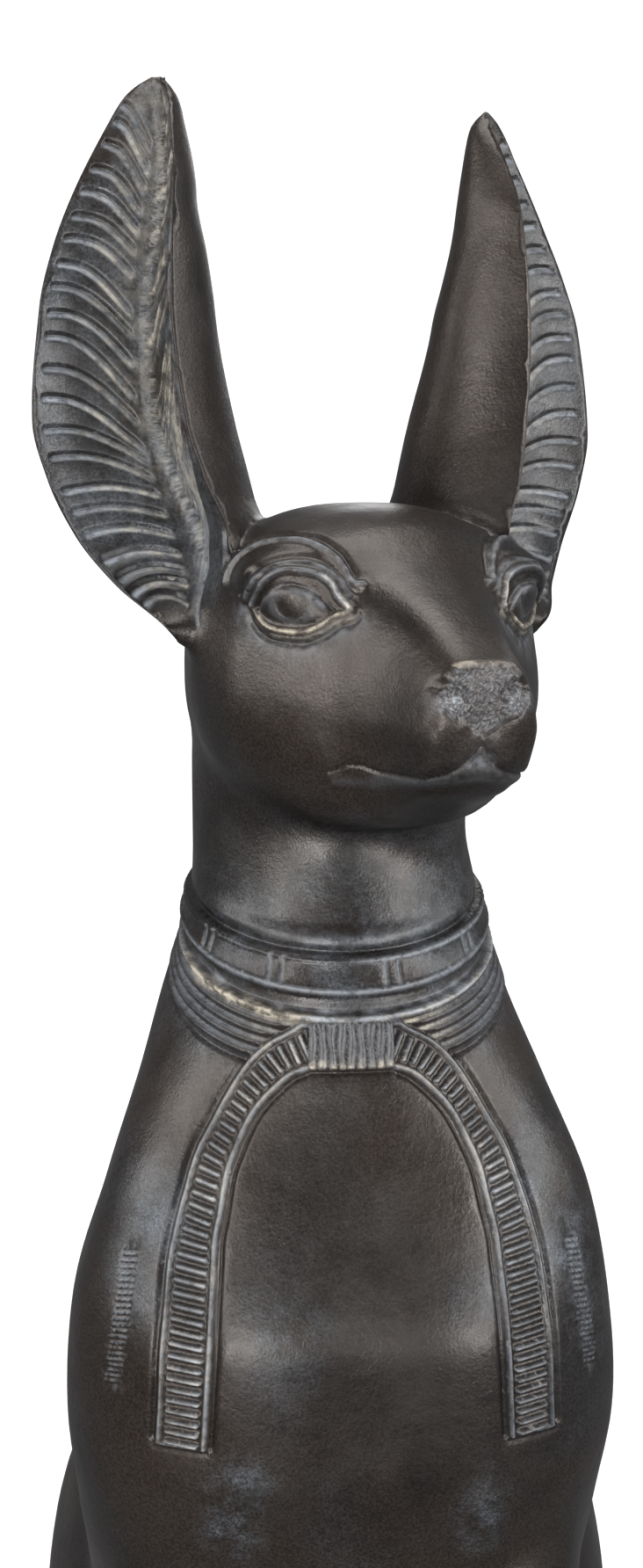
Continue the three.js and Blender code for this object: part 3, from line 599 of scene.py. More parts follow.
def refined(points, triangles, longest, wanted):
    """Cuts every side longer than a length, with both ends wanted, at its middle, and each triangle into two,
    three or four by how many of its sides are cut. CUTS names the new corners: 0 to 2 are the triangle's own,
    3 to 5 the middles of the sides after them, from the first cut side, or the one after the uncut side."""
    edges, side_edge = edges_of(triangles)
    length = np.linalg.norm(points[edges[:, 0]] - points[edges[:, 1]], axis=1)
    cut = (length > longest) & wanted[edges].all(axis=1)
    middle = np.full(len(edges), -1)
    middle[cut] = len(points) + np.arange(cut.sum())
    points = np.vstack([points, points[edges[cut]].mean(axis=1)])
    half = middle[side_edge]
    count = (half >= 0).sum(axis=1)
    pieces = [triangles[count == 0]]
    for sides_cut, corners in CUTS.items():
        rows = count == sides_cut
        is_cut = half[rows] >= 0
        first = (np.argmin(is_cut, axis=1) + 1) % 3 if sides_cut == 2 else np.argmax(is_cut, axis=1)
        order = (first[:, None] + np.arange(3)) % 3
        six = np.hstack([np.take_along_axis(values[rows], order, 1) for values in (triangles, half)])
        pieces += [six[:, corner] for corner in corners]
    return points, np.vstack(pieces)


def between(value, low, high):
    """Where a value lies between two others."""
    return (value > low) & (value < high)


def relief_zone(points, margin):
    """Where fine relief stands: the ears' hollows, the face, the collar, the ribbon and the flank marks."""
    side, front, height = head_parts(points)
    across = np.abs(side)
    ears = np.zeros(len(points), dtype=bool)
    for hand in (-1, 1):
        ear_up, along, out, width = ear_coordinates(points, hand)
        on_leaf = (ear_up > 24 - margin) & (out > -HOLLOW_DEPTH * width) & (along > -0.1)
        ears |= (hand * side > 50) & on_leaf & (front > -70)
    eyes = between(front, 4 - margin, 66 + margin) & (across > 22) & (height > 14 - margin)
    mouth = (front > 54 - margin) & between(height, -48 - margin, -16 + margin)
    nose = front > 98 - margin
    face = (eyes | mouth | nose) & (across < 84) & between(height, -60, 68)
    side, front, height = body_parts(points)
    across = np.abs(side)
    collar = between(height + 0.24 * front, 588.5 - margin, 638.5 + margin)
    collar &= between(front, -90, 96) & (across < 90)
    ribbon = (front > 60) & between(height, 400 - margin, 592) & (across < 96 + margin)
    ribbon &= across > np.interp(height, [400, 480, 540, 562, 563], [58, 54, 40, 22, 0]) - margin
    flank = (front > 20) & (across > 84) & between(height, 424, 500)
    return ears | face | collar | ribbon | flank


for longest, margin in ((FINE_SIDE, 4), (FINEST_SIDE, 0)):
    points, triangles = refined(points, triangles, longest, relief_zone(points, margin))
    edges, _ = edges_of(triangles)
    points = evened(points, edges, 2)

shells.clear()
for hand in (-1, 1):
    add_shell(ear_shell(hand, 360, 240))
ears = put_in("ear_form", mesh_from("ear_form", *joined(shells)))
casting.data = mesh_from("cast_jackal", points, triangles)
wrapped = finished(casting, kind="SHRINKWRAP", target=ears, wrap_method="NEAREST_SURFACEPOINT")
onto_ear = places_of(wrapped) - points
far_off = np.linalg.norm(onto_ear, axis=1) / PART
share = ear_share(points, 2, 9) * (1 - ease(far_off, 5, 8))
points = evened(points + share[:, None] * onto_ear, edges, 3, np.ceil(share))
bpy.data.objects.remove(ears)
normals = normals_of(points, triangles)
head_across, head_front, head_height = head_parts(points)
body_side, body_front, body_height = body_parts(points)

# Ear carving
# Each hollow is cut like a feather: long grooves run from a midrib to the rim, and short steep strokes fill
# the strip between the midrib and the fold. The pale lines under the grooves and the dashes by the strokes
# are partly wax left in them and partly painted highlight on their lit edges; warm dust lies at the midrib.
# Rows: height, share of the way from crest to rim.
MIDRIB = [[24, 0.42], [60, 0.46], [95, 0.42], [150, 0.42], [181, 0.45], [208, 0.47], [240, 0.43], [260, 0.4]]
# Rows: height at the midrib, height at the rim, arch between them.
FEATHERS = [
    [31, 30, 5], [39, 34, 5.5], [45, 40, 5.5], [52, 48, 5], [60, 60, 4.5], [69, 70, 4], [78, 79, 4],
    [84, 94, 4], [91, 106, 4], [96, 120, 4], [108, 133, 4], [118, 147, 4], [133, 157, 4], [146, 169, 3],
    [156, 179, 3], [173, 190, 3], [183, 200, 2.5], [192, 211, 2], [200, 221, 2], [209, 232, 2],
    [218, 242, 1.5], [228, 249, 1],
]
FEATHER_CUT, FEATHER_WIDTH = 1.7, 1.45
LEFT_EAR_CUT = 0.65
WAX_AND_HIGHLIGHT_BELOW, WAX_AND_HIGHLIGHT_WIDTH = 1.3, 0.8
RIM_LEFT_PLAIN = 0.965
STRIP_START = 0.05
STROKE_CUT, STROKE_WIDTH = 1.5, 1.15
LOW_STROKES = np.arange(10, 104, 6.5)
HIGH_STROKES = [at_rib for at_rib, _, _ in FEATHERS if at_rib > 104]
# Rows: height of a stroke's foot, how far it climbs across the strip.
STROKE_CLIMB = [[10, 95], [60, 75], [110, 46], [150, 24], [240, 20]]
HIGH_DASH = (2.4, 1.0)
LOW_DASH = (-0.9, 0.75)
MIDRIB_CUT, MIDRIB_WIDTH = 0.2, 1.6
FOLD_AT, FOLD_CUT, FOLD_WIDTH = 0.04, 1.5, 1.3
DUST, DUST_REACH = 0.2, 10
HOLLOW_VEIL = 0.4
lift, pale, cream, worn_and_sheen = np.zeros((4, len(points)))


def ridge(distance, width):
    """A rounded ridge across a line: e to minus the square of the distance over the width."""
    return np.exp(-(distance / width) ** 2)


def rise_and_fall(value, low, high, fall, end):
    """0, an easing up to 1 between the first two bounds, and an easing back to 0 between the last two."""
    return ease(value, low, high) * (1 - ease(value, fall, end))


def lay(deposit_and_highlight, rows, strength):
    """Lays a pale or cream mark at some of the vertices, at least as strong as given: a deposit, in places a
    painted highlight.
    """
    deposit_and_highlight[rows] = np.maximum(deposit_and_highlight[rows], strength)


for hand in (-1, 1):
    rows = np.flatnonzero((hand * head_across > 50) & (head_height > 20))
    up, along, out, width = ear_coordinates(points[rows], hand)
    rim_side, rim_front, crest_side, crest_front = ear_at(up)[:4]
    facing = normals[rows, 0] * np.sin(HEAD_TURN) - normals[rows, 1] * np.cos(HEAD_TURN)
    sideways = normals[rows, 0] * np.cos(HEAD_TURN) + normals[rows, 1] * np.sin(HEAD_TURN)
    facing = (facing * (rim_side - crest_side) - hand * sideways * (rim_front - crest_front)) / width
    hollow_side = (out > -HOLLOW_DEPTH * width) & (along > 0.02) & (along < 1.03) & (facing > 0.1)
    rows, up, along, width = rows[hollow_side], up[hollow_side], along[hollow_side], width[hollow_side]
    facing = ease(facing[hollow_side], 0.1, 0.45)
    rib = np.interp(up, *np.array(MIDRIB).T)
    outer = along > rib
    outward = np.clip((along - rib) / (1 - rib), 0, 1)
    inward = np.clip((rib - along) / (rib - STRIP_START), 0, 1)
    ends = outer * ease(outward, 0.02, 0.12) * (1 - ease(along, RIM_LEFT_PLAIN - 0.03, RIM_LEFT_PLAIN))
    cut, wax_and_highlight = np.zeros((2, len(rows)))
    for number, (at_rib, at_rim, arch) in enumerate(FEATHERS):
        climb = at_rim - at_rib
        level = at_rib + climb * np.sin(outward * np.pi / 2) + arch * np.sin(outward * np.pi)
        tilt = (climb * np.cos(outward * np.pi / 2) + 2 * arch * np.cos(outward * np.pi)) * np.pi / 2
        off = (up - level) / np.sqrt(1 + (tilt / ((1 - rib) * width)) ** 2)
        groove = ridge(off, FEATHER_WIDTH * np.where(off > 0, 0.8, 1.25))
        cut = np.maximum(cut, groove * ends)
        strength = 0.85 + 0.25 * np.sin(number * 2.3)
        # The pale line just under each groove is partly wax in the groove and partly a painted highlight on
        # its lit lower edge.
        wax_and_highlight = np.maximum(wax_and_highlight, ridge(off + WAX_AND_HIGHLIGHT_BELOW, WAX_AND_HIGHLIGHT_WIDTH) * ends * strength)
    lift[rows] -= FEATHER_CUT * (1 if hand < 0 else LEFT_EAR_CUT) * cut * facing
    lay(pale, rows, wax_and_highlight * (0.6 + 0.4 * outward))
    lay(cream, rows, wax_and_highlight * 0.9 * (1 - ease(outward, 0.35, 0.8)))
    worn_and_sheen[rows] = HOLLOW_VEIL * facing * ease(up, 20, 50)
    dusty = ridge((along - rib) * width, DUST_REACH) * ease(up, 50, 110) * facing
    lay(cream, rows, DUST * dusty * (0.6 + 0.4 * np.sin(up * 0.5) * np.sin(up * 0.17)))
    cut, wax_and_highlight = np.zeros((2, len(rows)))
    for number, at_rib in enumerate([*LOW_STROKES, *HIGH_STROKES]):
        high_up = at_rib > 110
        climb = np.interp(at_rib, *np.array(STROKE_CLIMB).T)
        off = (up - at_rib - climb * inward) / np.sqrt(1 + (climb / ((rib - STRIP_START) * width)) ** 2)
        reach = ~outer * (1 - ease(inward, 0.8 + 0.15 * np.sin(number * 1.7), 0.98))
        groove = ridge(off, STROKE_WIDTH * (1.2 if high_up else 1))
        cut = np.maximum(cut, groove * reach * ease(inward, 0.08, 0.25))
        dash_at, dash_width = HIGH_DASH if high_up else LOW_DASH
        strength = 0.7 + 0.3 * np.sin(number * 3.1)
        # The pale and cream dashes beside each stroke are partly wax and partly painted highlight.
        wax_and_highlight = np.maximum(wax_and_highlight, ridge(off - dash_at, dash_width) * ease(inward, 0.06, 0.2) * reach * strength)
    lift[rows] -= STROKE_CUT * cut * facing
    lay(cream, rows, wax_and_highlight * 0.7 * ease(up, 20, 110))
    lay(pale, rows, wax_and_highlight * 0.5 * (1 - ease(up, 60, 150)))
    midrib_line = ridge((along - rib) * width, MIDRIB_WIDTH) * rise_and_fall(up, 28, 40, 236, 250)
    fold = ridge((along - FOLD_AT) * width, FOLD_WIDTH) * ease(up, 34, 60)
    lift[rows] -= MIDRIB_CUT * midrib_line + FOLD_CUT * fold

# Eyes and brows
# Almond eyes with a full globe, a faint ring for the iris, raised rims that run on past the inner corner, a
# second fold above the lid and an arched brow with a cut over it.
# Points on the lines: distance from the middle of the head, front, height.
UPPER_RIM = [
    (67, 31.2, 32.9), (66.1, 38.4, 40.9), (62.1, 42.4, 45.4), (57.2, 44.7, 46.9), (51.8, 47, 46.8),
    (46.7, 49.2, 45.8), (43.2, 51.2, 43.9), (40.1, 53.5, 40.7), (38.4, 55.6, 36.8), (36.6, 58, 33.6),
    (34.9, 60.5, 31.6),
]
LOWER_RIM = [
    (66.4, 31.4, 31.5), (64.9, 32.7, 28), (63.3, 34.8, 24.6), (61, 38.1, 22.5), (57.8, 42.1, 21.5),
    (52.1, 47.7, 21.4), (46.2, 52.6, 23.7), (42.2, 55.5, 26.4), (39.7, 57.2, 28.5), (36, 60.4, 29.4),
]
BROW = [
    (71.7, 11.2, 40.4), (69.1, 11.6, 47.5), (63.1, 18.5, 54.6), (58.5, 23.5, 57.4), (54.5, 28.7, 58.2),
    (46.9, 34.8, 58.6), (40.2, 43.8, 55.3), (37.2, 47.9, 52.2), (34.7, 51.5, 48.6), (33.2, 54.6, 44.7),
    (32, 57.3, 41.3), (28.7, 59.6, 41.1),
]
BROW_CUT = [
    (70.1, 3.2, 46.1), (66.6, 2.5, 51.3), (62.8, 5.5, 55.1), (57.9, 9.8, 58.5), (52.7, 16.6, 60.8),
    (48.2, 24.8, 61.7), (43.7, 30.6, 61.4), (39.4, 35.8, 60.4), (36, 43.1, 57.1), (33, 47.5, 53.9),
    (31, 55.3, 45.1),
]
LID_FOLD = [
    (69.6, 27.5, 35.8), (69, 34.4, 41.9), (66.2, 38.6, 45.7), (61.4, 40.7, 48.9), (54.5, 43.1, 50.7),
    (48.2, 46.1, 50.3), (41.3, 50.1, 47.4), (36.6, 54.4, 42.5), (34.3, 58.2, 37.2),
]
# The opening is measured along a line from the outer corner to the inner one: way along, top, foot.
OUTER_CORNER, EYE_RUN, CORNER_LEVEL = (66.1, 33.1), (0.739, 0.674), 30
OPENING = np.array([
    [-0.8, 30.7, 30.7], [3.5, 37.8, 28.5], [7.1, 40, 27.2], [12.7, 41.8, 25.6], [17, 42.2, 24.9],
    [22.6, 40.8, 24.6], [27.8, 37.6, 25.9], [32, 33.6, 28], [35.6, 30.3, 30.1],
])
GLOBE_AT, GLOBE_REACH = 17.4, (19.5, 9.6)
GLOBE_SINK, GLOBE_RISE = 2.4, 4.6
IRIS_AT, IRIS_RADIUS, IRIS_SINK = (16.9, 33.8), 7.9, 0.5
SEAM_BELOW_LID, SEAM_WIDTH, SEAM_CUT = 1.3, 1.1, 1.2


def dense(line, between=6):
    """A line of points made finer: a smooth run through them by their number."""
    line = np.array(line, dtype=float)
    rows = np.column_stack([np.arange(len(line)), line])
    return smooth_run(rows)(np.linspace(0, len(line) - 1, (len(line) - 1) * between + 1)).T


def near_line(places, line):
    """For each place the distance to a line of points, the share of the line's length at the nearest spot,
    and the step from that spot to the place."""
    run = np.linalg.norm(np.diff(line, axis=0), axis=1)
    passed = np.concatenate([[0], np.cumsum(run)])
    best = np.full(len(places), 1e9)
    share = np.zeros(len(places))
    step = np.zeros_like(places)
    for start, end, before, length in zip(line[:-1], line[1:], passed[:-1], run):
        ahead = (end - start) / length
        t = np.clip((places - start) @ ahead, 0, length)
        gap = places - start - t[:, None] * ahead
        distance = np.sqrt((gap**2).sum(axis=1))
        closer = distance < best
        best[closer] = distance[closer]
        share[closer] = (before + t[closer]) / passed[-1]
        step[closer] = gap[closer]
    return best, share, step


def laid_on(line, places):
    """A line's points moved onto the skin, each to the nearest of the places, and the line made finer."""
    return dense([places[np.argmin(((places - spot) ** 2).sum(axis=1))] for spot in np.array(line)])


def ridges(*lines):
    """The sum of rounded ridges along lines. Each has the distances from its line, how far off the line it
    stands, its width, its rise (below 0 for a cut) and the share of it that is there."""
    return sum(rise * ridge(distance - off, width) * there for distance, off, width, rise, there in lines)


def lay_lines(deposit_and_highlight, rows, *lines):
    """Lays a pale or cream mark along lines, given as for ridges, with a strength in place of the rise: a
    deposit, in places a painted highlight.
    """
    for line in lines:
        lay(deposit_and_highlight, rows, ridges(line))


across, front, height = np.abs(head_across), head_front, head_height
rows = np.flatnonzero(between(front, -6, 72) & between(across, 20, 84) & between(height, 8, 72))
face = np.stack([across, front, height], axis=1)[rows]
across, front, height = face.T
eye_along = EYE_RUN[0] * (OUTER_CORNER[0] - across) + EYE_RUN[1] * (front - OUTER_CORNER[1])
lid_top, lid_foot = (
    np.interp(eye_along, OPENING[:, 0], OPENING[:, k], left=CORNER_LEVEL, right=CORNER_LEVEL) for k in (1, 2))
inside = ease(np.minimum(lid_top - height, height - lid_foot), -0.5, 0.8)
inside *= (eye_along > OPENING[0, 0]) & (eye_along < OPENING[-1, 0]) & (front > 20)
outside = 1 - inside
from_middle = height - (lid_top + lid_foot) / 2
ball = 1 - ((eye_along - GLOBE_AT) / GLOBE_REACH[0]) ** 2 - (from_middle / GLOBE_REACH[1]) ** 2
iris = np.hypot(eye_along - IRIS_AT[0], height - IRIS_AT[1])
globe = GLOBE_RISE * np.sqrt(np.maximum(ball, 0)) - GLOBE_SINK
globe -= IRIS_SINK * (1 - ease(iris, IRIS_RADIUS - 0.9, IRIS_RADIUS))
globe -= SEAM_CUT * ridge(lid_top - height - SEAM_BELOW_LID, SEAM_WIDTH)
upper, upper_share, _ = near_line(face, laid_on(UPPER_RIM, face))
lower, lower_share, lower_step = near_line(face, laid_on(LOWER_RIM, face))
brow, _, _ = near_line(face, laid_on(BROW, face))
over_brow, _, _ = near_line(face, laid_on(BROW_CUT, face))
fold, _, fold_step = near_line(face, laid_on(LID_FOLD, face))
below_eye = lower_step[:, 2] < 0
above_fold = (fold_step[:, 2] > 0) * ease(brow, 2, 4)
relief = ridges(
    (upper, 0, 1.7, 2.5, 1),
    (lower, 0, 1.2, 1.6, 1),
    (lower, 2.9, 0.9, 0.7, below_eye),
    (lower, 4.8, 1.4, -1.3, below_eye),
    (fold, 0, 1.2, 0.8, 1),
    (fold, 3.2, 1.8, -1.1, above_fold),
    (brow, 0, 1.5, 2.3, 1),
    (over_brow, 0, 1.6, -1.8, 1),
)
lift[rows] += globe * inside + relief * outside
patchy = 0.5 + 0.5 * np.sin(front * 0.9 + height * 0.7) * np.sin(height * 1.3 - front * 0.35)
on_upper = outside * (0.35 + 0.65 * ease(upper_share, 0.5, 0.75)) * (0.5 + 0.5 * patchy)
on_lower = outside * (0.35 + 0.65 * np.sin(lower_share * np.pi) ** 0.6)
globe_highlight = inside * (0.4 + 0.6 * ease(eye_along, 14, 24)) * (1 - ease(eye_along, 29, 33))
# The pale lines along the upper rim, the brow and the lid fold, and the pale band on the globe just under the
# upper lid, are painted highlights.
lay_lines(
    pale, rows,
    (upper, -0.2, 1.0, 0.85, on_upper),
    (brow, 0.2, 1.0, 0.34, 0.3 + 0.7 * patchy),
    (fold, 0, 1.3, 0.34, patchy),
    (lower, 8, 4, 0.26, below_eye * patchy),
    (lid_top - height, 3.4, 1.1, 0.3, globe_highlight),
    (iris, IRIS_RADIUS + 1, 1.4, 0.14, inside),
)
lay_lines(
    cream, rows,
    (lower, 0, 0.85, 0.9, on_lower),
    (upper, -0.2, 1.0, 0.85, on_upper * ease(upper_share, 0.62, 0.85)),
    (lower, 2.9, 0.8, 0.22, below_eye * ease(lower_share, 0.2, 0.4)),
)

# Nose and mouth
# A flat gritty nose pad under a crisp ledge, comma nostrils, and a long mouth that ends in a small curl; the
# fold under the nose is cut as an inverted V. The muzzle's own middle stands a little to the figure's right.
MUZZLE_OFFSET = 2
# Points: distance from the muzzle's middle, height.
NOSE_EDGE = [(18.3, 0.5), (17, 4), (14.6, 8), (11.6, 11.2), (8, 12.4), (3, 12.6), (-2, 12.6)]
NOSTRIL_CUT = [(18.2, 2.6), (16.4, 4.6), (13, 4), (10, 1.8), (8.2, -1.8)]
PAD_TOP = [(0, 12.6), (8, 12.4), (11.6, 11.2), (14.6, 8), (17, 4), (18.3, 0.5), (18.8, -5)]
PAD_FOOT = [(0, -17), (5, -15), (8, -12), (11, -10.5), (15, -9), (18.3, -5)]
PAD_SINK, PAD_GRIT = 1.5, 0.22
FLARE_AT, FLARE_REACH, FLARE_RISE = (13.8, -3.2), (5.8, 3.8), 0.6
FOLD_FOOT, FOLD_REACH, FOLD_SINK = -28, (5.5, 3.4), 0.7
# Points on the lines: distance from the muzzle's middle, front, height.
MOUTH = [
    (44.5, 60, -37), (42.1, 62.1, -35.2), (39.4, 67, -33.2), (36.9, 72.3, -33), (34.5, 77.7, -34),
    (32.6, 83.1, -35), (30.5, 90.8, -35.4), (28.3, 98.6, -35.4), (22.7, 106, -35), (16.7, 110.6, -34.3),
    (12.6, 113, -33), (8.8, 115, -30.8), (5.2, 116.2, -27.4), (2.6, 117, -23.6), (0, 117.6, -20.6),
]
MOUTH_CUT = 1.35
LOWER_LIP = [
    (42, 60.5, -41), (39.3, 63.9, -40.4), (35, 71.5, -40.7), (31, 82.3, -40.2), (26.1, 99.8, -38),
    (15.6, 108.7, -37), (5.5, 111.6, -35.6), (0, 112.5, -35.2),
]
muzzle_side = head_across + MUZZLE_OFFSET * ease(head_front, 95, 115)
rows = np.flatnonzero((head_front > 50) & between(head_height, -56, 24))
snout = np.stack([np.abs(muzzle_side), head_front, head_height], axis=1)[rows]
across, front, height = snout.T
pad_top, pad_foot = (np.interp(across, *np.array(edge).T) for edge in (PAD_TOP, PAD_FOOT))
pad = ease(pad_top - height, -0.3, 0.9) * ease(height - pad_foot, -0.5, 1.5) * (front > 104)
grit = np.random.default_rng(7).normal(size=len(points))[rows]
on_front = ease(front, 100, 108)
ledge, _, _ = near_line(snout[:, [0, 2]], dense(NOSE_EDGE))
nostril, _, _ = near_line(snout[:, [0, 2]], dense(NOSTRIL_CUT))
flare = on_front * hump((across - FLARE_AT[0], FLARE_REACH[0]), (height - FLARE_AT[1], FLARE_REACH[1]))
under_nose = hump((across, FOLD_REACH[0]), (height - FOLD_FOOT, FOLD_REACH[1])) * (front > 100)
mouth, mouth_share, mouth_step = near_line(snout, laid_on(MOUTH, snout))
lip, _, lip_step = near_line(snout, laid_on(LOWER_LIP, snout))
below = mouth_step[:, 2] < 0
mouth_depth = MOUTH_CUT * (1 - 0.35 * ease(mouth_share, 0.75, 0.9))
mouth_depth *= 0.6 + 0.4 * ease(mouth_share, 0.08, 0.25)
lift[rows] += (PAD_GRIT * grit - PAD_SINK) * pad + FLARE_RISE * flare - FOLD_SINK * under_nose + ridges(
    (ledge, 0, 0.9, 0.7, on_front),
    (nostril, 0, 1.7, -2.4, on_front),
    (across, 0, 1.4, -0.7, rise_and_fall(height, -20, -14, -8, 0) * (front > 100)),
    (mouth, 0, np.where(below, 1.0, 0.9), -mouth_depth, 1),
    (mouth, 4, 3, 0.5, ~below * ease(front, 60, 75)),
    (lip, 0, 2.2, 0.35, 1),
    (lip, 5, 2.6, -0.35, lip_step[:, 2] < 0),
)
dust = np.max([
    0.95 * flare * (1 - ridge(nostril, 1.6)),
    0.75 * under_nose,
    0.34 * pad,
    0.3 * hump((across, 4), (height + 13, 9)) * on_front,
], axis=0)
lay(pale, rows, dust * (0.2 + 0.8 * ease(grit, 0.1, 1.5)))
lay_lines(
    pale, rows,
    (lip, 0, 1.6, 0.06, 1),
    (mouth, 1.7, 0.8, 0.1, below * rise_and_fall(mouth_share, 0.2, 0.35, 0.8, 0.9)),
)
lay_lines(cream, rows, (ledge, 0, 0.6, 0.4, on_front * (height > 11)))

# Collar
# A flat band of long panels in thin lines, a hollow and a bright rim under it, and four cords below the rim.
# Each level round the collar has its height at the sides and its drop towards the front.
COLLAR_TOP, BAND_FOOT, RIM_AT = (634.5, 0.24), (622.5, 0.29), (617.5, 0.335)
BACK_SLOPE = 0.24
BAND_RISE, RIM_RISE, CORD_RISE, CORD_PITCH, CORDS = 2.4, 3.4, 2.6, 4.2, 4
PANEL_ENDS = (-160, -124, -88, -54, -24, 14, 48, 84, 120, 156)
PANEL_LINE_GAP, PANEL_LINE_WIDTH, PANEL_CUT = 2.2, 0.7, 0.7
# Rows: side, height down to which the collar is clear of the ribbon.
RIBBON_TOP = [(0, 590), (19, 590), (20, 589), (34, 582), (45, 572), (60, 540)]
rows = np.flatnonzero(between(body_height, 540, 680) & (np.abs(body_side) < 92) & (head_height < -45))
side, front, height = body_side[rows], body_front[rows], body_height[rows]


def collar_level(at_sides, drop):
    """The height of a line round the collar: the height at the sides less the front times its drop."""
    return at_sides - front * np.where(front > 0, drop, BACK_SLOPE)


top, foot, rim_level = collar_level(*COLLAR_TOP), collar_level(*BAND_FOOT), collar_level(*RIM_AT)
to_rim = height - rim_level
forward, facing = ease(front, 5, 40), ease(front, -10, 40)
on_band = ease(height - foot, -0.7, 0.5) * (1 - ease(height - top, -0.5, 0.7))
round_neck = np.degrees(np.arctan2(side, front))
panel_line = np.max([
    ridge(round_neck - angle - gap, PANEL_LINE_WIDTH)
    for angle in PANEL_ENDS for gap in (-PANEL_LINE_GAP, PANEL_LINE_GAP)
], axis=0) * on_band * (height < top - 2) * (height > foot + 2)
cord_phase = (rim_level - 2.2 - height) / CORD_PITCH
on_cords = rise_and_fall(cord_phase, 0, 0.12, CORDS - 0.1, CORDS + 0.15)
cord = np.abs(np.sin(np.clip(cord_phase, 0, CORDS) * np.pi)) ** 0.6
relief = BAND_RISE * on_band - PANEL_CUT * panel_line + CORD_RISE * cord * on_cords * (0.3 + 0.7 * forward)
relief += ridges(
    (height - top, 1.6, 1.2, -1.5, 1),
    (height - top, 6.2, 3.6, 1.5, ease(front, 10, 50)),
    (height - top, -2.6, 0.8, 0.8, on_band),
    (height - foot, 2, 0.9, 0.9, on_band),
    (height - (rim_level + foot) / 2, -0.6, 2.2, -1.3, 1),
    (to_rim, 0, np.where(to_rim > 0, 2.0, 1.5), RIM_RISE, 0.6 + 0.4 * forward),
    (cord_phase, CORDS + 0.2, 0.3, -1.2, 1),
)
ribbon_top = np.interp(np.abs(side), *np.array(RIBBON_TOP).T)
clear_of_ribbon = np.clip(ease(height - ribbon_top, 0, 1.5) + (front < 30), 0, 1)
lift[rows] += relief * np.where(to_rim < -1.5, clear_of_ribbon, 1)
wear = 0.55 + 0.45 * np.sin(side * 0.21 + 1.3) * np.sin(side * 0.083 - 0.6)
uneven = 0.6 + 0.4 * np.sin(side * 0.47) * np.sin(side * 0.19 + height * 0.6)
smear = rise_and_fall(round_neck, -80, -58, -22, -6)
from_cord = cord_phase - np.round(cord_phase)
on_cords *= clear_of_ribbon * facing
near_knot = ease(70 - np.abs(side), 15, 45) * (0.45 + 0.55 * ease(side, -10, 20))
lay_lines(
    cream, rows,
    (to_rim + 0.4 * smear, 0, 0.9 + 1.5 * smear * uneven, 0.3 + 0.7 * smear * (0.6 + 0.4 * wear), facing),
    (from_cord, 0.12, 0.16, 1, on_cords * near_knot),
)
# The pale line on the roll above the collar, a little over its top, is a painted highlight.
lay_lines(
    pale, rows,
    (to_rim, 0.2, 0.9, 1, (0.4 + 0.6 * wear) * facing * (1 - smear)),
    (height - top, -2.6, 0.7, 0.5, on_band * ease(side, -10, 20) * facing),
    (height - foot, 1.6, 0.8, 0.42, on_band * facing),
    (height - top, 5.4, 2, 0.34, hump((side - 3, 36)) * facing * uneven),
    (height - 0.4 * foot - 0.6 * rim_level, 0, 1.7, 0.55, facing * uneven**2 * wear),
    (from_cord, 0.12, 0.16, 0.3, on_cords),
)
lay(pale, rows, 0.25 * panel_line)

# Ribbon and knot
# The ribbon comes from a ribbed knot under the collar, falls in two ends on the breast and is barred across
# between raised edges, with a cut line all round.
# Rows: share, outer side and height, inner side and height.
RIBBON = [
    [0, 18, 588.5, 18, 569], [0.07, 34, 581, 27, 565], [0.14, 45, 571, 35, 558],
    [0.22, 55, 557, 43, 548.5], [0.3, 63, 543, 49, 537.5], [0.37, 70, 530, 54, 526],
    [0.45, 75, 515, 57, 512], [0.52, 79, 501, 60, 499], [0.59, 82, 487, 61, 486], [0.68, 84, 469, 62.5, 468],
    [0.78, 86, 449, 63.7, 449], [0.89, 87, 427, 65, 427], [1, 88, 411, 66, 411],
]
RIBBON_FOOT = 411
BARS = 38
BAR_RISE, EDGE_RISE, CUT_DEPTH = 2.6, 2.0, 1.7
KNOT_HALF, KNOT_TOP, KNOT_FOOT, KNOT_RIBS, KNOT_RISE = 19, 588.5, 568.5, 9, 2.8
stations = np.linspace(0, 1, 61)
outer_side, outer_height, inner_side, inner_height = smooth_run(RIBBON)(stations)
ribbon_middle = np.stack([(outer_side + inner_side) / 2, (outer_height + inner_height) / 2], axis=1)
ribbon_half = np.hypot(outer_side - inner_side, outer_height - inner_height) / 2
to_outer_side = (outer_side - inner_side) / (2 * ribbon_half)
to_outer_up = (outer_height - inner_height) / (2 * ribbon_half)
rows = np.flatnonzero((body_front > 55) & between(body_height, 398, 594) & (np.abs(body_side) < 98))
signed_side, height = body_side[rows], body_height[rows]
side = np.abs(signed_side)
_, share, step = near_line(np.stack([side, height], axis=1), ribbon_middle)
half = np.interp(share, stations, ribbon_half)
across = step[:, 0] * np.interp(share, stations, to_outer_side)
across += step[:, 1] * np.interp(share, stations, to_outer_up)
beyond = np.where(share > 0.995, RIBBON_FOOT - height, -1e3)
beside = np.abs(across) - half
edge_gap = np.hypot(np.maximum(beside, 0), np.maximum(beyond, 0)) + np.minimum(np.maximum(beside, beyond), 0)
started = ease(side, KNOT_HALF - 1, KNOT_HALF + 1)
within = (1 - ease(edge_gap, -4.6, -3.4)) * started
from_bar = np.abs(share * BARS - np.round(share * BARS))
around_knot = np.maximum(side - KNOT_HALF, np.maximum(height - KNOT_TOP, KNOT_FOOT - height))
in_knot = ease(KNOT_TOP - height, 0, 1) * ease(height - KNOT_FOOT, 0, 1)
in_knot *= 1 - ease(side, KNOT_HALF - 0.8, KNOT_HALF)
rib_phase = (signed_side + KNOT_HALF) / (2 * KNOT_HALF) * KNOT_RIBS
rib = np.abs(np.sin((rib_phase + 0.1 * np.sin(height * 0.3 + signed_side * 0.4)) * np.pi)) ** 0.55
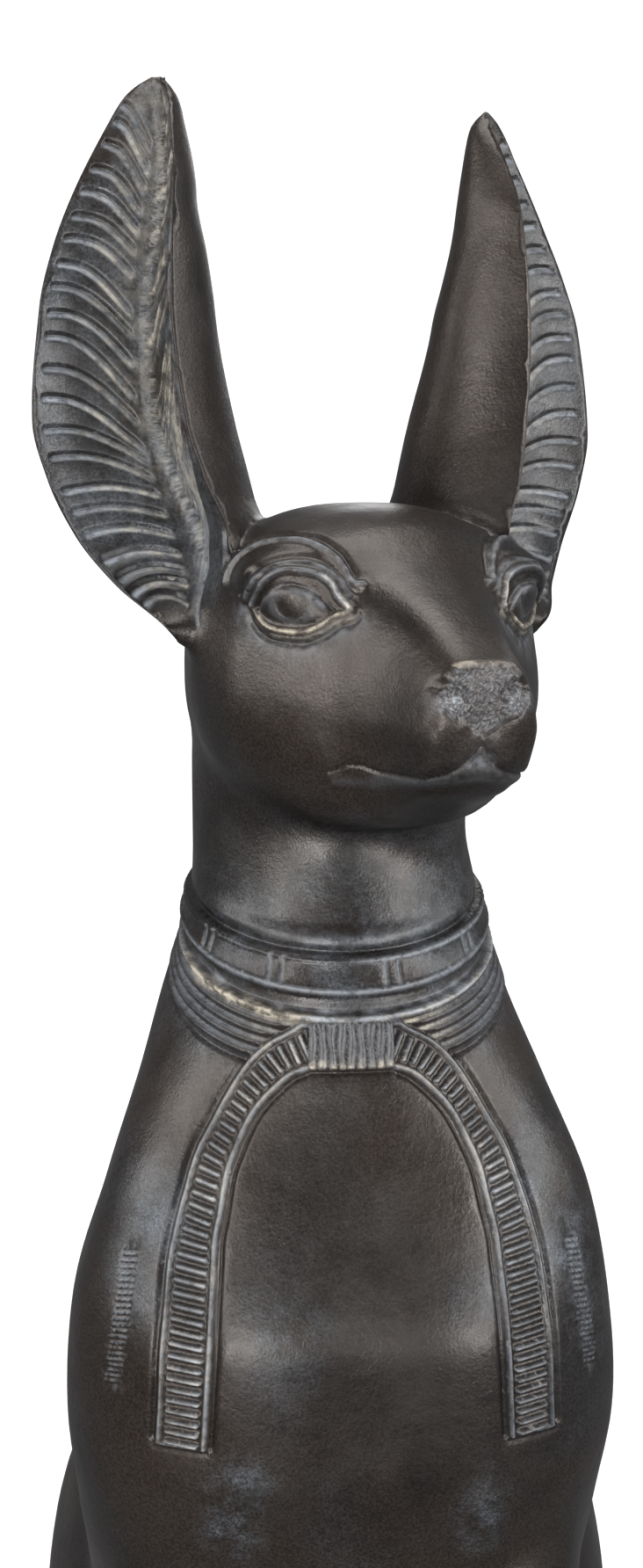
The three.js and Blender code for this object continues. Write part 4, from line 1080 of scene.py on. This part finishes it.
lift[rows] += BAR_RISE * ease(from_bar, 0.2, 0.42) * within + in_knot * (0.8 + KNOT_RISE * rib) + ridges(
    (edge_gap, -1.5, 1.0, EDGE_RISE, started),
    (edge_gap, 1.5, 1.3, -CUT_DEPTH, started * (1 - 0.65 * ease(beyond, -3, 0))),
    (around_knot, 1.2, 1.0, np.where(side > KNOT_HALF, -0.4, -1.5), 1),
)
patchy = 0.5 + 0.5 * np.sin(height * 0.13 + signed_side * 0.05) * np.sin(height * 0.047 + 2)
faded = (1 - 0.45 * (signed_side > 0) * ease(520 - height, 0, 60)) * (0.5 + 0.5 * patchy)
near_side = 0.8 * patchy * np.maximum(ease(height, 470, 560), 0.55 * (signed_side < 0))
bar_edge = within * (0.55 + 0.45 * ease(-across / half, 0.1, 0.6))
lay_lines(
    pale, rows,
    (from_bar, 0.5, 0.14, 1, bar_edge * faded),
    (edge_gap, -1.3, 0.7, 0.6, started * faded),
    (rib, 0.75, 0.2, 0.35, in_knot),
)
lay_lines(
    cream, rows,
    (from_bar, 0.5, 0.14, 1, bar_edge * near_side),
    (edge_gap, -1.5, 1.0, 0.6, started * near_side),
)
lay(cream, rows, 0.95 * in_knot * rib**2 * (1 - ease(height, KNOT_FOOT + 2, KNOT_FOOT + 4.5)))

# Flank marks
# A short strip of fine strokes is cut on each side of the breast, outside the ribbon, and holds a little pale
# wax. Each end of the strip is given as side and height.
FLANK_TOP, FLANK_FOOT, FLANK_HALF, FLANK_PITCH, FLANK_CUT = (97.5, 493), (107, 432), 3.6, 2.55, 0.55
rows = np.flatnonzero((body_front > 10) & between(body_height, 426, 498) & (np.abs(body_side) > 86))
height = body_height[rows]
strip = np.interp(height, [FLANK_FOOT[1], FLANK_TOP[1]], [FLANK_FOOT[0], FLANK_TOP[0]])
off = np.abs(body_side[rows]) - strip
on_strip = rise_and_fall(height, FLANK_FOOT[1], FLANK_FOOT[1] + 3, FLANK_TOP[1] - 3, FLANK_TOP[1])
on_strip *= 1 - ease(np.abs(off), FLANK_HALF - 0.8, FLANK_HALF + 0.4)
stroke = np.sin((height + 0.25 * off) / FLANK_PITCH * 2 * np.pi)
lift[rows] -= FLANK_CUT * on_strip * ease(stroke, 0.1, 0.9)
lay(pale, rows, 0.3 * on_strip * ease(-stroke, 0.2, 1))

# Toes
# Three cuts over the front of each paw part the toes. They are as wide as a small loop tool, and run out over
# the paw's back and just above the slab.
TOE_DEPTH, TOE_WIDTH = 4.5, 2.2
for paw_side, paw in ((FORE_PAW_SIDE, FORE_PAW), (HIND_PAW_SIDE, HIND_PAW)):
    from_tip = body_front - paw[-1][0]
    from_paw = np.abs(body_side) - paw_side
    rows = np.flatnonzero(between(body_height, -4, 60) & between(from_tip, -60, 20) & (np.abs(from_paw) < 44))
    gap = np.min(np.abs(from_paw[rows][:, None] - np.array(TOE_GAPS)), axis=1)
    reach = ease(from_tip[rows], -42, -22) * ease(body_height[rows], 0, 4)
    lift[rows] -= TOE_DEPTH * ridge(gap, TOE_WIDTH) * reach

# Worn wax and painted sheen
# Broad, soft patches beside the ribbon, over the collar and on the lower breast are made paler and bluer.
# They are partly wax gone pale with wear and partly painted sheen where the satin would shine; they change
# the sheen's tint and the colour, and not the form.
# Rows: side, height, reach, strength.
WORN_AND_SHEEN = [
    [80, 520, 16, 0.5], [94, 488, 16, 0.6], [100, 455, 14, 0.4], [-86, 505, 14, 0.6], [-96, 480, 10, 0.5],
    [0, 620, 30, 0.5], [-45, 622, 20, 0.4], [45, 622, 22, 0.6], [-66, 590, 16, 0.4], [62, 590, 16, 0.4],
    [-36, 466, 20, 0.3], [52, 478, 14, 0.3], [-56, 378, 10, 0.9], [55, 374, 9, 0.7], [-50, 394, 9, 0.7],
]
for side, height, reach, strength in WORN_AND_SHEEN:
    patch = hump((body_side - side, reach), (body_height - height, 1.6 * reach)) * (body_front > 0)
    worn_and_sheen = np.maximum(worn_and_sheen, strength * patch)

# Finish
# The relief is raised on the skin; the skin is then made lighter where it is plain, kept inside the casting's
# box and shaded smooth.
MOST_TRIANGLES = 195000
points = points + normals * (lift * PART)[:, None]
casting.data = mesh_from("cast_jackal", points, triangles)
for name, values in (("pale", pale), ("cream", cream), ("worn_and_sheen", worn_and_sheen)):
    attribute = casting.data.attributes.new(name, "FLOAT", "POINT")
    attribute.data.foreach_set("value", values.astype(np.float32))
light = finished(casting, kind="DECIMATE", ratio=MOST_TRIANGLES / len(triangles))
place = np.clip(places_of(light), lowest, highest)
light.vertices.foreach_set("co", place.astype(np.float32).ravel())
light.polygons.foreach_set("use_smooth", np.ones(len(light.polygons), dtype=bool))
light.update()
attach(casting, "root")
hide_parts(CASTING)

# Patina
# The resin stone has a dark brown-black patina, waxed to a satin sheen. A pale blue-grey and a cream deposit
# are left in the cuts and along the raised edges; some pale lines on raised edges are painted highlights, and
# the paler blue patches are partly painted sheen.
patina = bpy.data.materials.new("dark_patina")
patina.use_nodes = True
nodes, links = patina.node_tree.nodes, patina.node_tree.links
shader = nodes["Principled BSDF"]


def add_node(kind, inputs=None, **settings):
    """A node with its settings and the values of its inputs."""
    node = nodes.new("ShaderNode" + kind)
    for key, value in settings.items():
        setattr(node, key, value)
    for key, value in (inputs or {}).items():
        if isinstance(value, bpy.types.NodeSocket):
            links.new(value, node.inputs[key])
        else:
            node.inputs[key].default_value = value
    return node


def math(operation, first, second):
    """Two values multiplied, added or compared, kept between 0 and 1."""
    return add_node("Math", {0: first, 1: second}, operation=operation, use_clamp=True).outputs[0]


def noise(scale, detail, rough=0.6):
    """Cloudy noise in the object's own space; scale is in spots a metre."""
    inputs = {"Vector": where, "Scale": scale, "Detail": detail, "Roughness": rough}
    return add_node("TexNoise", inputs).outputs[0]


def banded(value, low, high, to_low=0.0, to_high=1.0):
    """A value stretched from one range to another, smooth at both ends."""
    inputs = {"Value": value, "From Min": low, "From Max": high, "To Min": to_low, "To Max": to_high}
    return add_node("MapRange", inputs, interpolation_type="SMOOTHSTEP").outputs[0]


def mixed(share, first, second):
    """Two colours mixed by a share."""
    node = nodes.new("ShaderNodeMix")
    node.data_type = "RGBA"
    links.new(share, node.inputs["Factor"])
    for socket, value in ((node.inputs[6], first), (node.inputs[7], second)):
        if isinstance(value, bpy.types.NodeSocket):
            links.new(value, socket)
        else:
            socket.default_value = value
    return node.outputs[2]


BROWN, BLACK = (0.0135, 0.0098, 0.0078, 1), (0.006, 0.005, 0.0047, 1)
VEIL, PALE, CREAM = (0.085, 0.095, 0.11, 1), (0.36, 0.39, 0.43, 1), (0.56, 0.5, 0.4, 1)
WARM_SHEEN, COOL_SHEEN = (1, 0.91, 0.84, 1), (0.93, 0.97, 1, 1)
where = add_node("TexCoord").outputs["Object"]
pale_at, cream_at, worn_and_sheen_at = (
    add_node("Attribute", attribute_name=name).outputs["Fac"] for name in ("pale", "cream", "worn_and_sheen"))
streaks = banded(noise(60, 6, 0.75), 0.38, 0.68)
haze = math("MULTIPLY", banded(noise(14, 6, 0.7), 0.5, 0.8), 0.1)
# Where the worn patches lie the ground is mixed towards a paler blue: partly worn wax, partly painted sheen;
# in the ear hollows it is dust.
veil = math("MAXIMUM", math("MULTIPLY", worn_and_sheen_at, streaks), haze)
ground = mixed(veil, mixed(banded(noise(9, 4), 0.4, 0.62), BROWN, BLACK), VEIL)
fine = banded(noise(1100, 2), 0.3, 0.7, 0.4, 1.7)
ground = add_node("VectorMath", {0: ground, "Scale": fine}, operation="SCALE").outputs[0]
pale_share = math("MULTIPLY", pale_at, banded(noise(260, 4, 0.7), 0.32, 0.55, 0.3, 1.0))
cream_share = math("MULTIPLY", cream_at, banded(noise(180, 4, 0.7), 0.4, 0.62, 0.15, 1.0))
colour = mixed(cream_share, mixed(pale_share, ground, PALE), CREAM)
# Pale and cream marks, deposits and painted highlights alike, are made rougher.
deposit_and_highlight = math("MAXIMUM", pale_share, cream_share)
rough = math("ADD", banded(noise(40, 4), 0.3, 0.7, 0.29, 0.43), math("MULTIPLY", deposit_and_highlight, 0.3))
tint = mixed(math("MULTIPLY", worn_and_sheen_at, 1.6), WARM_SHEEN, COOL_SHEEN)
grain = add_node("Bump", {"Strength": 0.24, "Distance": 0.0006, "Height": noise(900, 3, 0.7)}).outputs[0]
swell = {"Strength": 0.13, "Distance": 0.002, "Height": noise(120, 3), "Normal": grain}
surface = add_node("Bump", swell).outputs[0]
looks = {"Base Color": colour, "Roughness": rough, "Specular Tint": tint, "Normal": surface}
for socket, value in looks.items():
    links.new(value, shader.inputs[socket])
shader.inputs["Specular IOR Level"].default_value = 0.5
casting.data.materials.append(patina)

# Floor and backdrop
# Pale paper, flat under the figure and curved up into a wall all round it. It glows a little more far off, so
# that it stays white behind the figure, and it is left out of the figure's reflections.
# Rows: share of the way out, reach and height in metres, glow.
paper_at = smooth_run([
    [0, 0.02, 0, 0.5], [0.2, 0.5, 0, 0.55], [0.45, 1.6, 0, 0.9], [0.6, 3, 0, 0.95], [0.7, 3.8, 0.22, 0.95],
    [0.8, 4.3, 0.9, 0.95], [0.88, 4.5, 2, 0.95], [1, 4.5, 6, 0.95],
])
paper_share = np.linspace(0, 1, 90)[:, None]
paper_turn = around(96)
paper_reach, paper_height, glow = paper_at(paper_share)
paper_points = np.stack(np.broadcast_arrays(
    paper_reach * np.cos(paper_turn), paper_reach * np.sin(paper_turn), paper_height), axis=-1)
shells.clear()
add_shell(paper_points)
paper_corners, paper_faces = shells.pop()
open_above = (paper_faces < paper_points.size // 3 + 1).all(axis=1)
sweep = put_in("paper_sweep", mesh_from("paper_sweep", paper_corners, paper_faces[open_above]))
sweep.data.polygons.foreach_set("use_smooth", np.ones(open_above.sum(), dtype=bool))
glow_at = sweep.data.attributes.new("glow", "FLOAT", "POINT")
glow_values = np.append(np.repeat(glow[:, 0], paper_turn.size), glow[[0, -1], 0])
glow_at.data.foreach_set("value", glow_values.astype(np.float32))
sweep.visible_glossy = False
sweep.visible_diffuse = False
paper = bpy.data.materials.new("pale_paper")
paper.use_nodes = True
nodes, links = paper.node_tree.nodes, paper.node_tree.links
shader = nodes["Principled BSDF"]
shader.inputs["Base Color"].default_value = (0.6, 0.6, 0.6, 1)
shader.inputs["Roughness"].default_value = 0.9
shader.inputs["Emission Color"].default_value = (1, 1, 1, 1)
links.new(add_node("Attribute", attribute_name="glow").outputs["Fac"], shader.inputs["Emission Strength"])
sweep.data.materials.append(paper)

# Light
# Two low, narrow boxes stand close in front. Large soft boxes stand to the left and right in front, at both
# sides, overhead and far behind, in a pale room.
world = bpy.data.worlds.new("pale_room")
world.use_nodes = True
room = world.node_tree.nodes["Background"].inputs
room["Color"].default_value = (0.93, 0.96, 1, 1)
room["Strength"].default_value = 0.2
bpy.context.scene.world = world
# Rows: name, place, height that it is turned to, width and height, power.
BOXES = [
    ("low_box_left", (-0.6, -1.8, 0.3), 0.35, (0.3, 0.6), 23),
    ("low_box_right", (0.95, -1.58, 0.3), 0.35, (0.25, 0.6), 13),
    ("soft_box_left", (-1.35, -1.3, 1.0), 0.5, (0.5, 0.5), 14),
    ("soft_box_right", (1.45, -1.15, 0.95), 0.5, (0.5, 0.5), 18),
    ("side_box_left", (-1.7, -0.35, 1.2), 0.5, (0.8, 0.8), 15),
    ("side_box_right", (1.7, -0.25, 1.3), 0.6, (0.8, 0.8), 11),
    ("soft_box_top", (0, -0.1, 2.3), 0.5, (1.2, 1.2), 24),
    ("soft_box_back", (0.6, 2.2, 1.5), 0.4, (1.0, 1.0), 6),
]
for name, place, aim, (width, height), power in BOXES:
    lamp = bpy.data.lights.new(name, "AREA")
    lamp.shape = "RECTANGLE"
    lamp.size, lamp.size_y = width, height
    lamp.energy = power
    holder = put_in(name, lamp)
    holder.location = place
    holder.rotation_euler = (Vector((0, 0, aim)) - Vector(place)).to_track_quat("-Z", "Y").to_euler()

# Camera
# It stands close in front of the figure, a little to its right, and looks slightly down. The lens is given in
# pixels, as is the long side of the picture that it fills.
LENS_REACH = 2173
LONG_SIDE = 1784
SENSOR = 36
CAMERA_PLACE = (-0.0648, -0.7288, 0.6564)
LOOKS_DOWN, LOOKS_ASIDE = 8.33, 5
camera = bpy.data.cameras.new("camera")
camera.sensor_width = SENSOR
camera.lens = LENS_REACH / LONG_SIDE * SENSOR
holder = put_in("camera", camera)
holder.location = CAMERA_PLACE
holder.rotation_euler = (np.radians(90 - LOOKS_DOWN), 0, np.radians(-LOOKS_ASIDE))
bpy.context.scene.camera = holder
bpy.context.scene.view_settings.view_transform = "Standard"
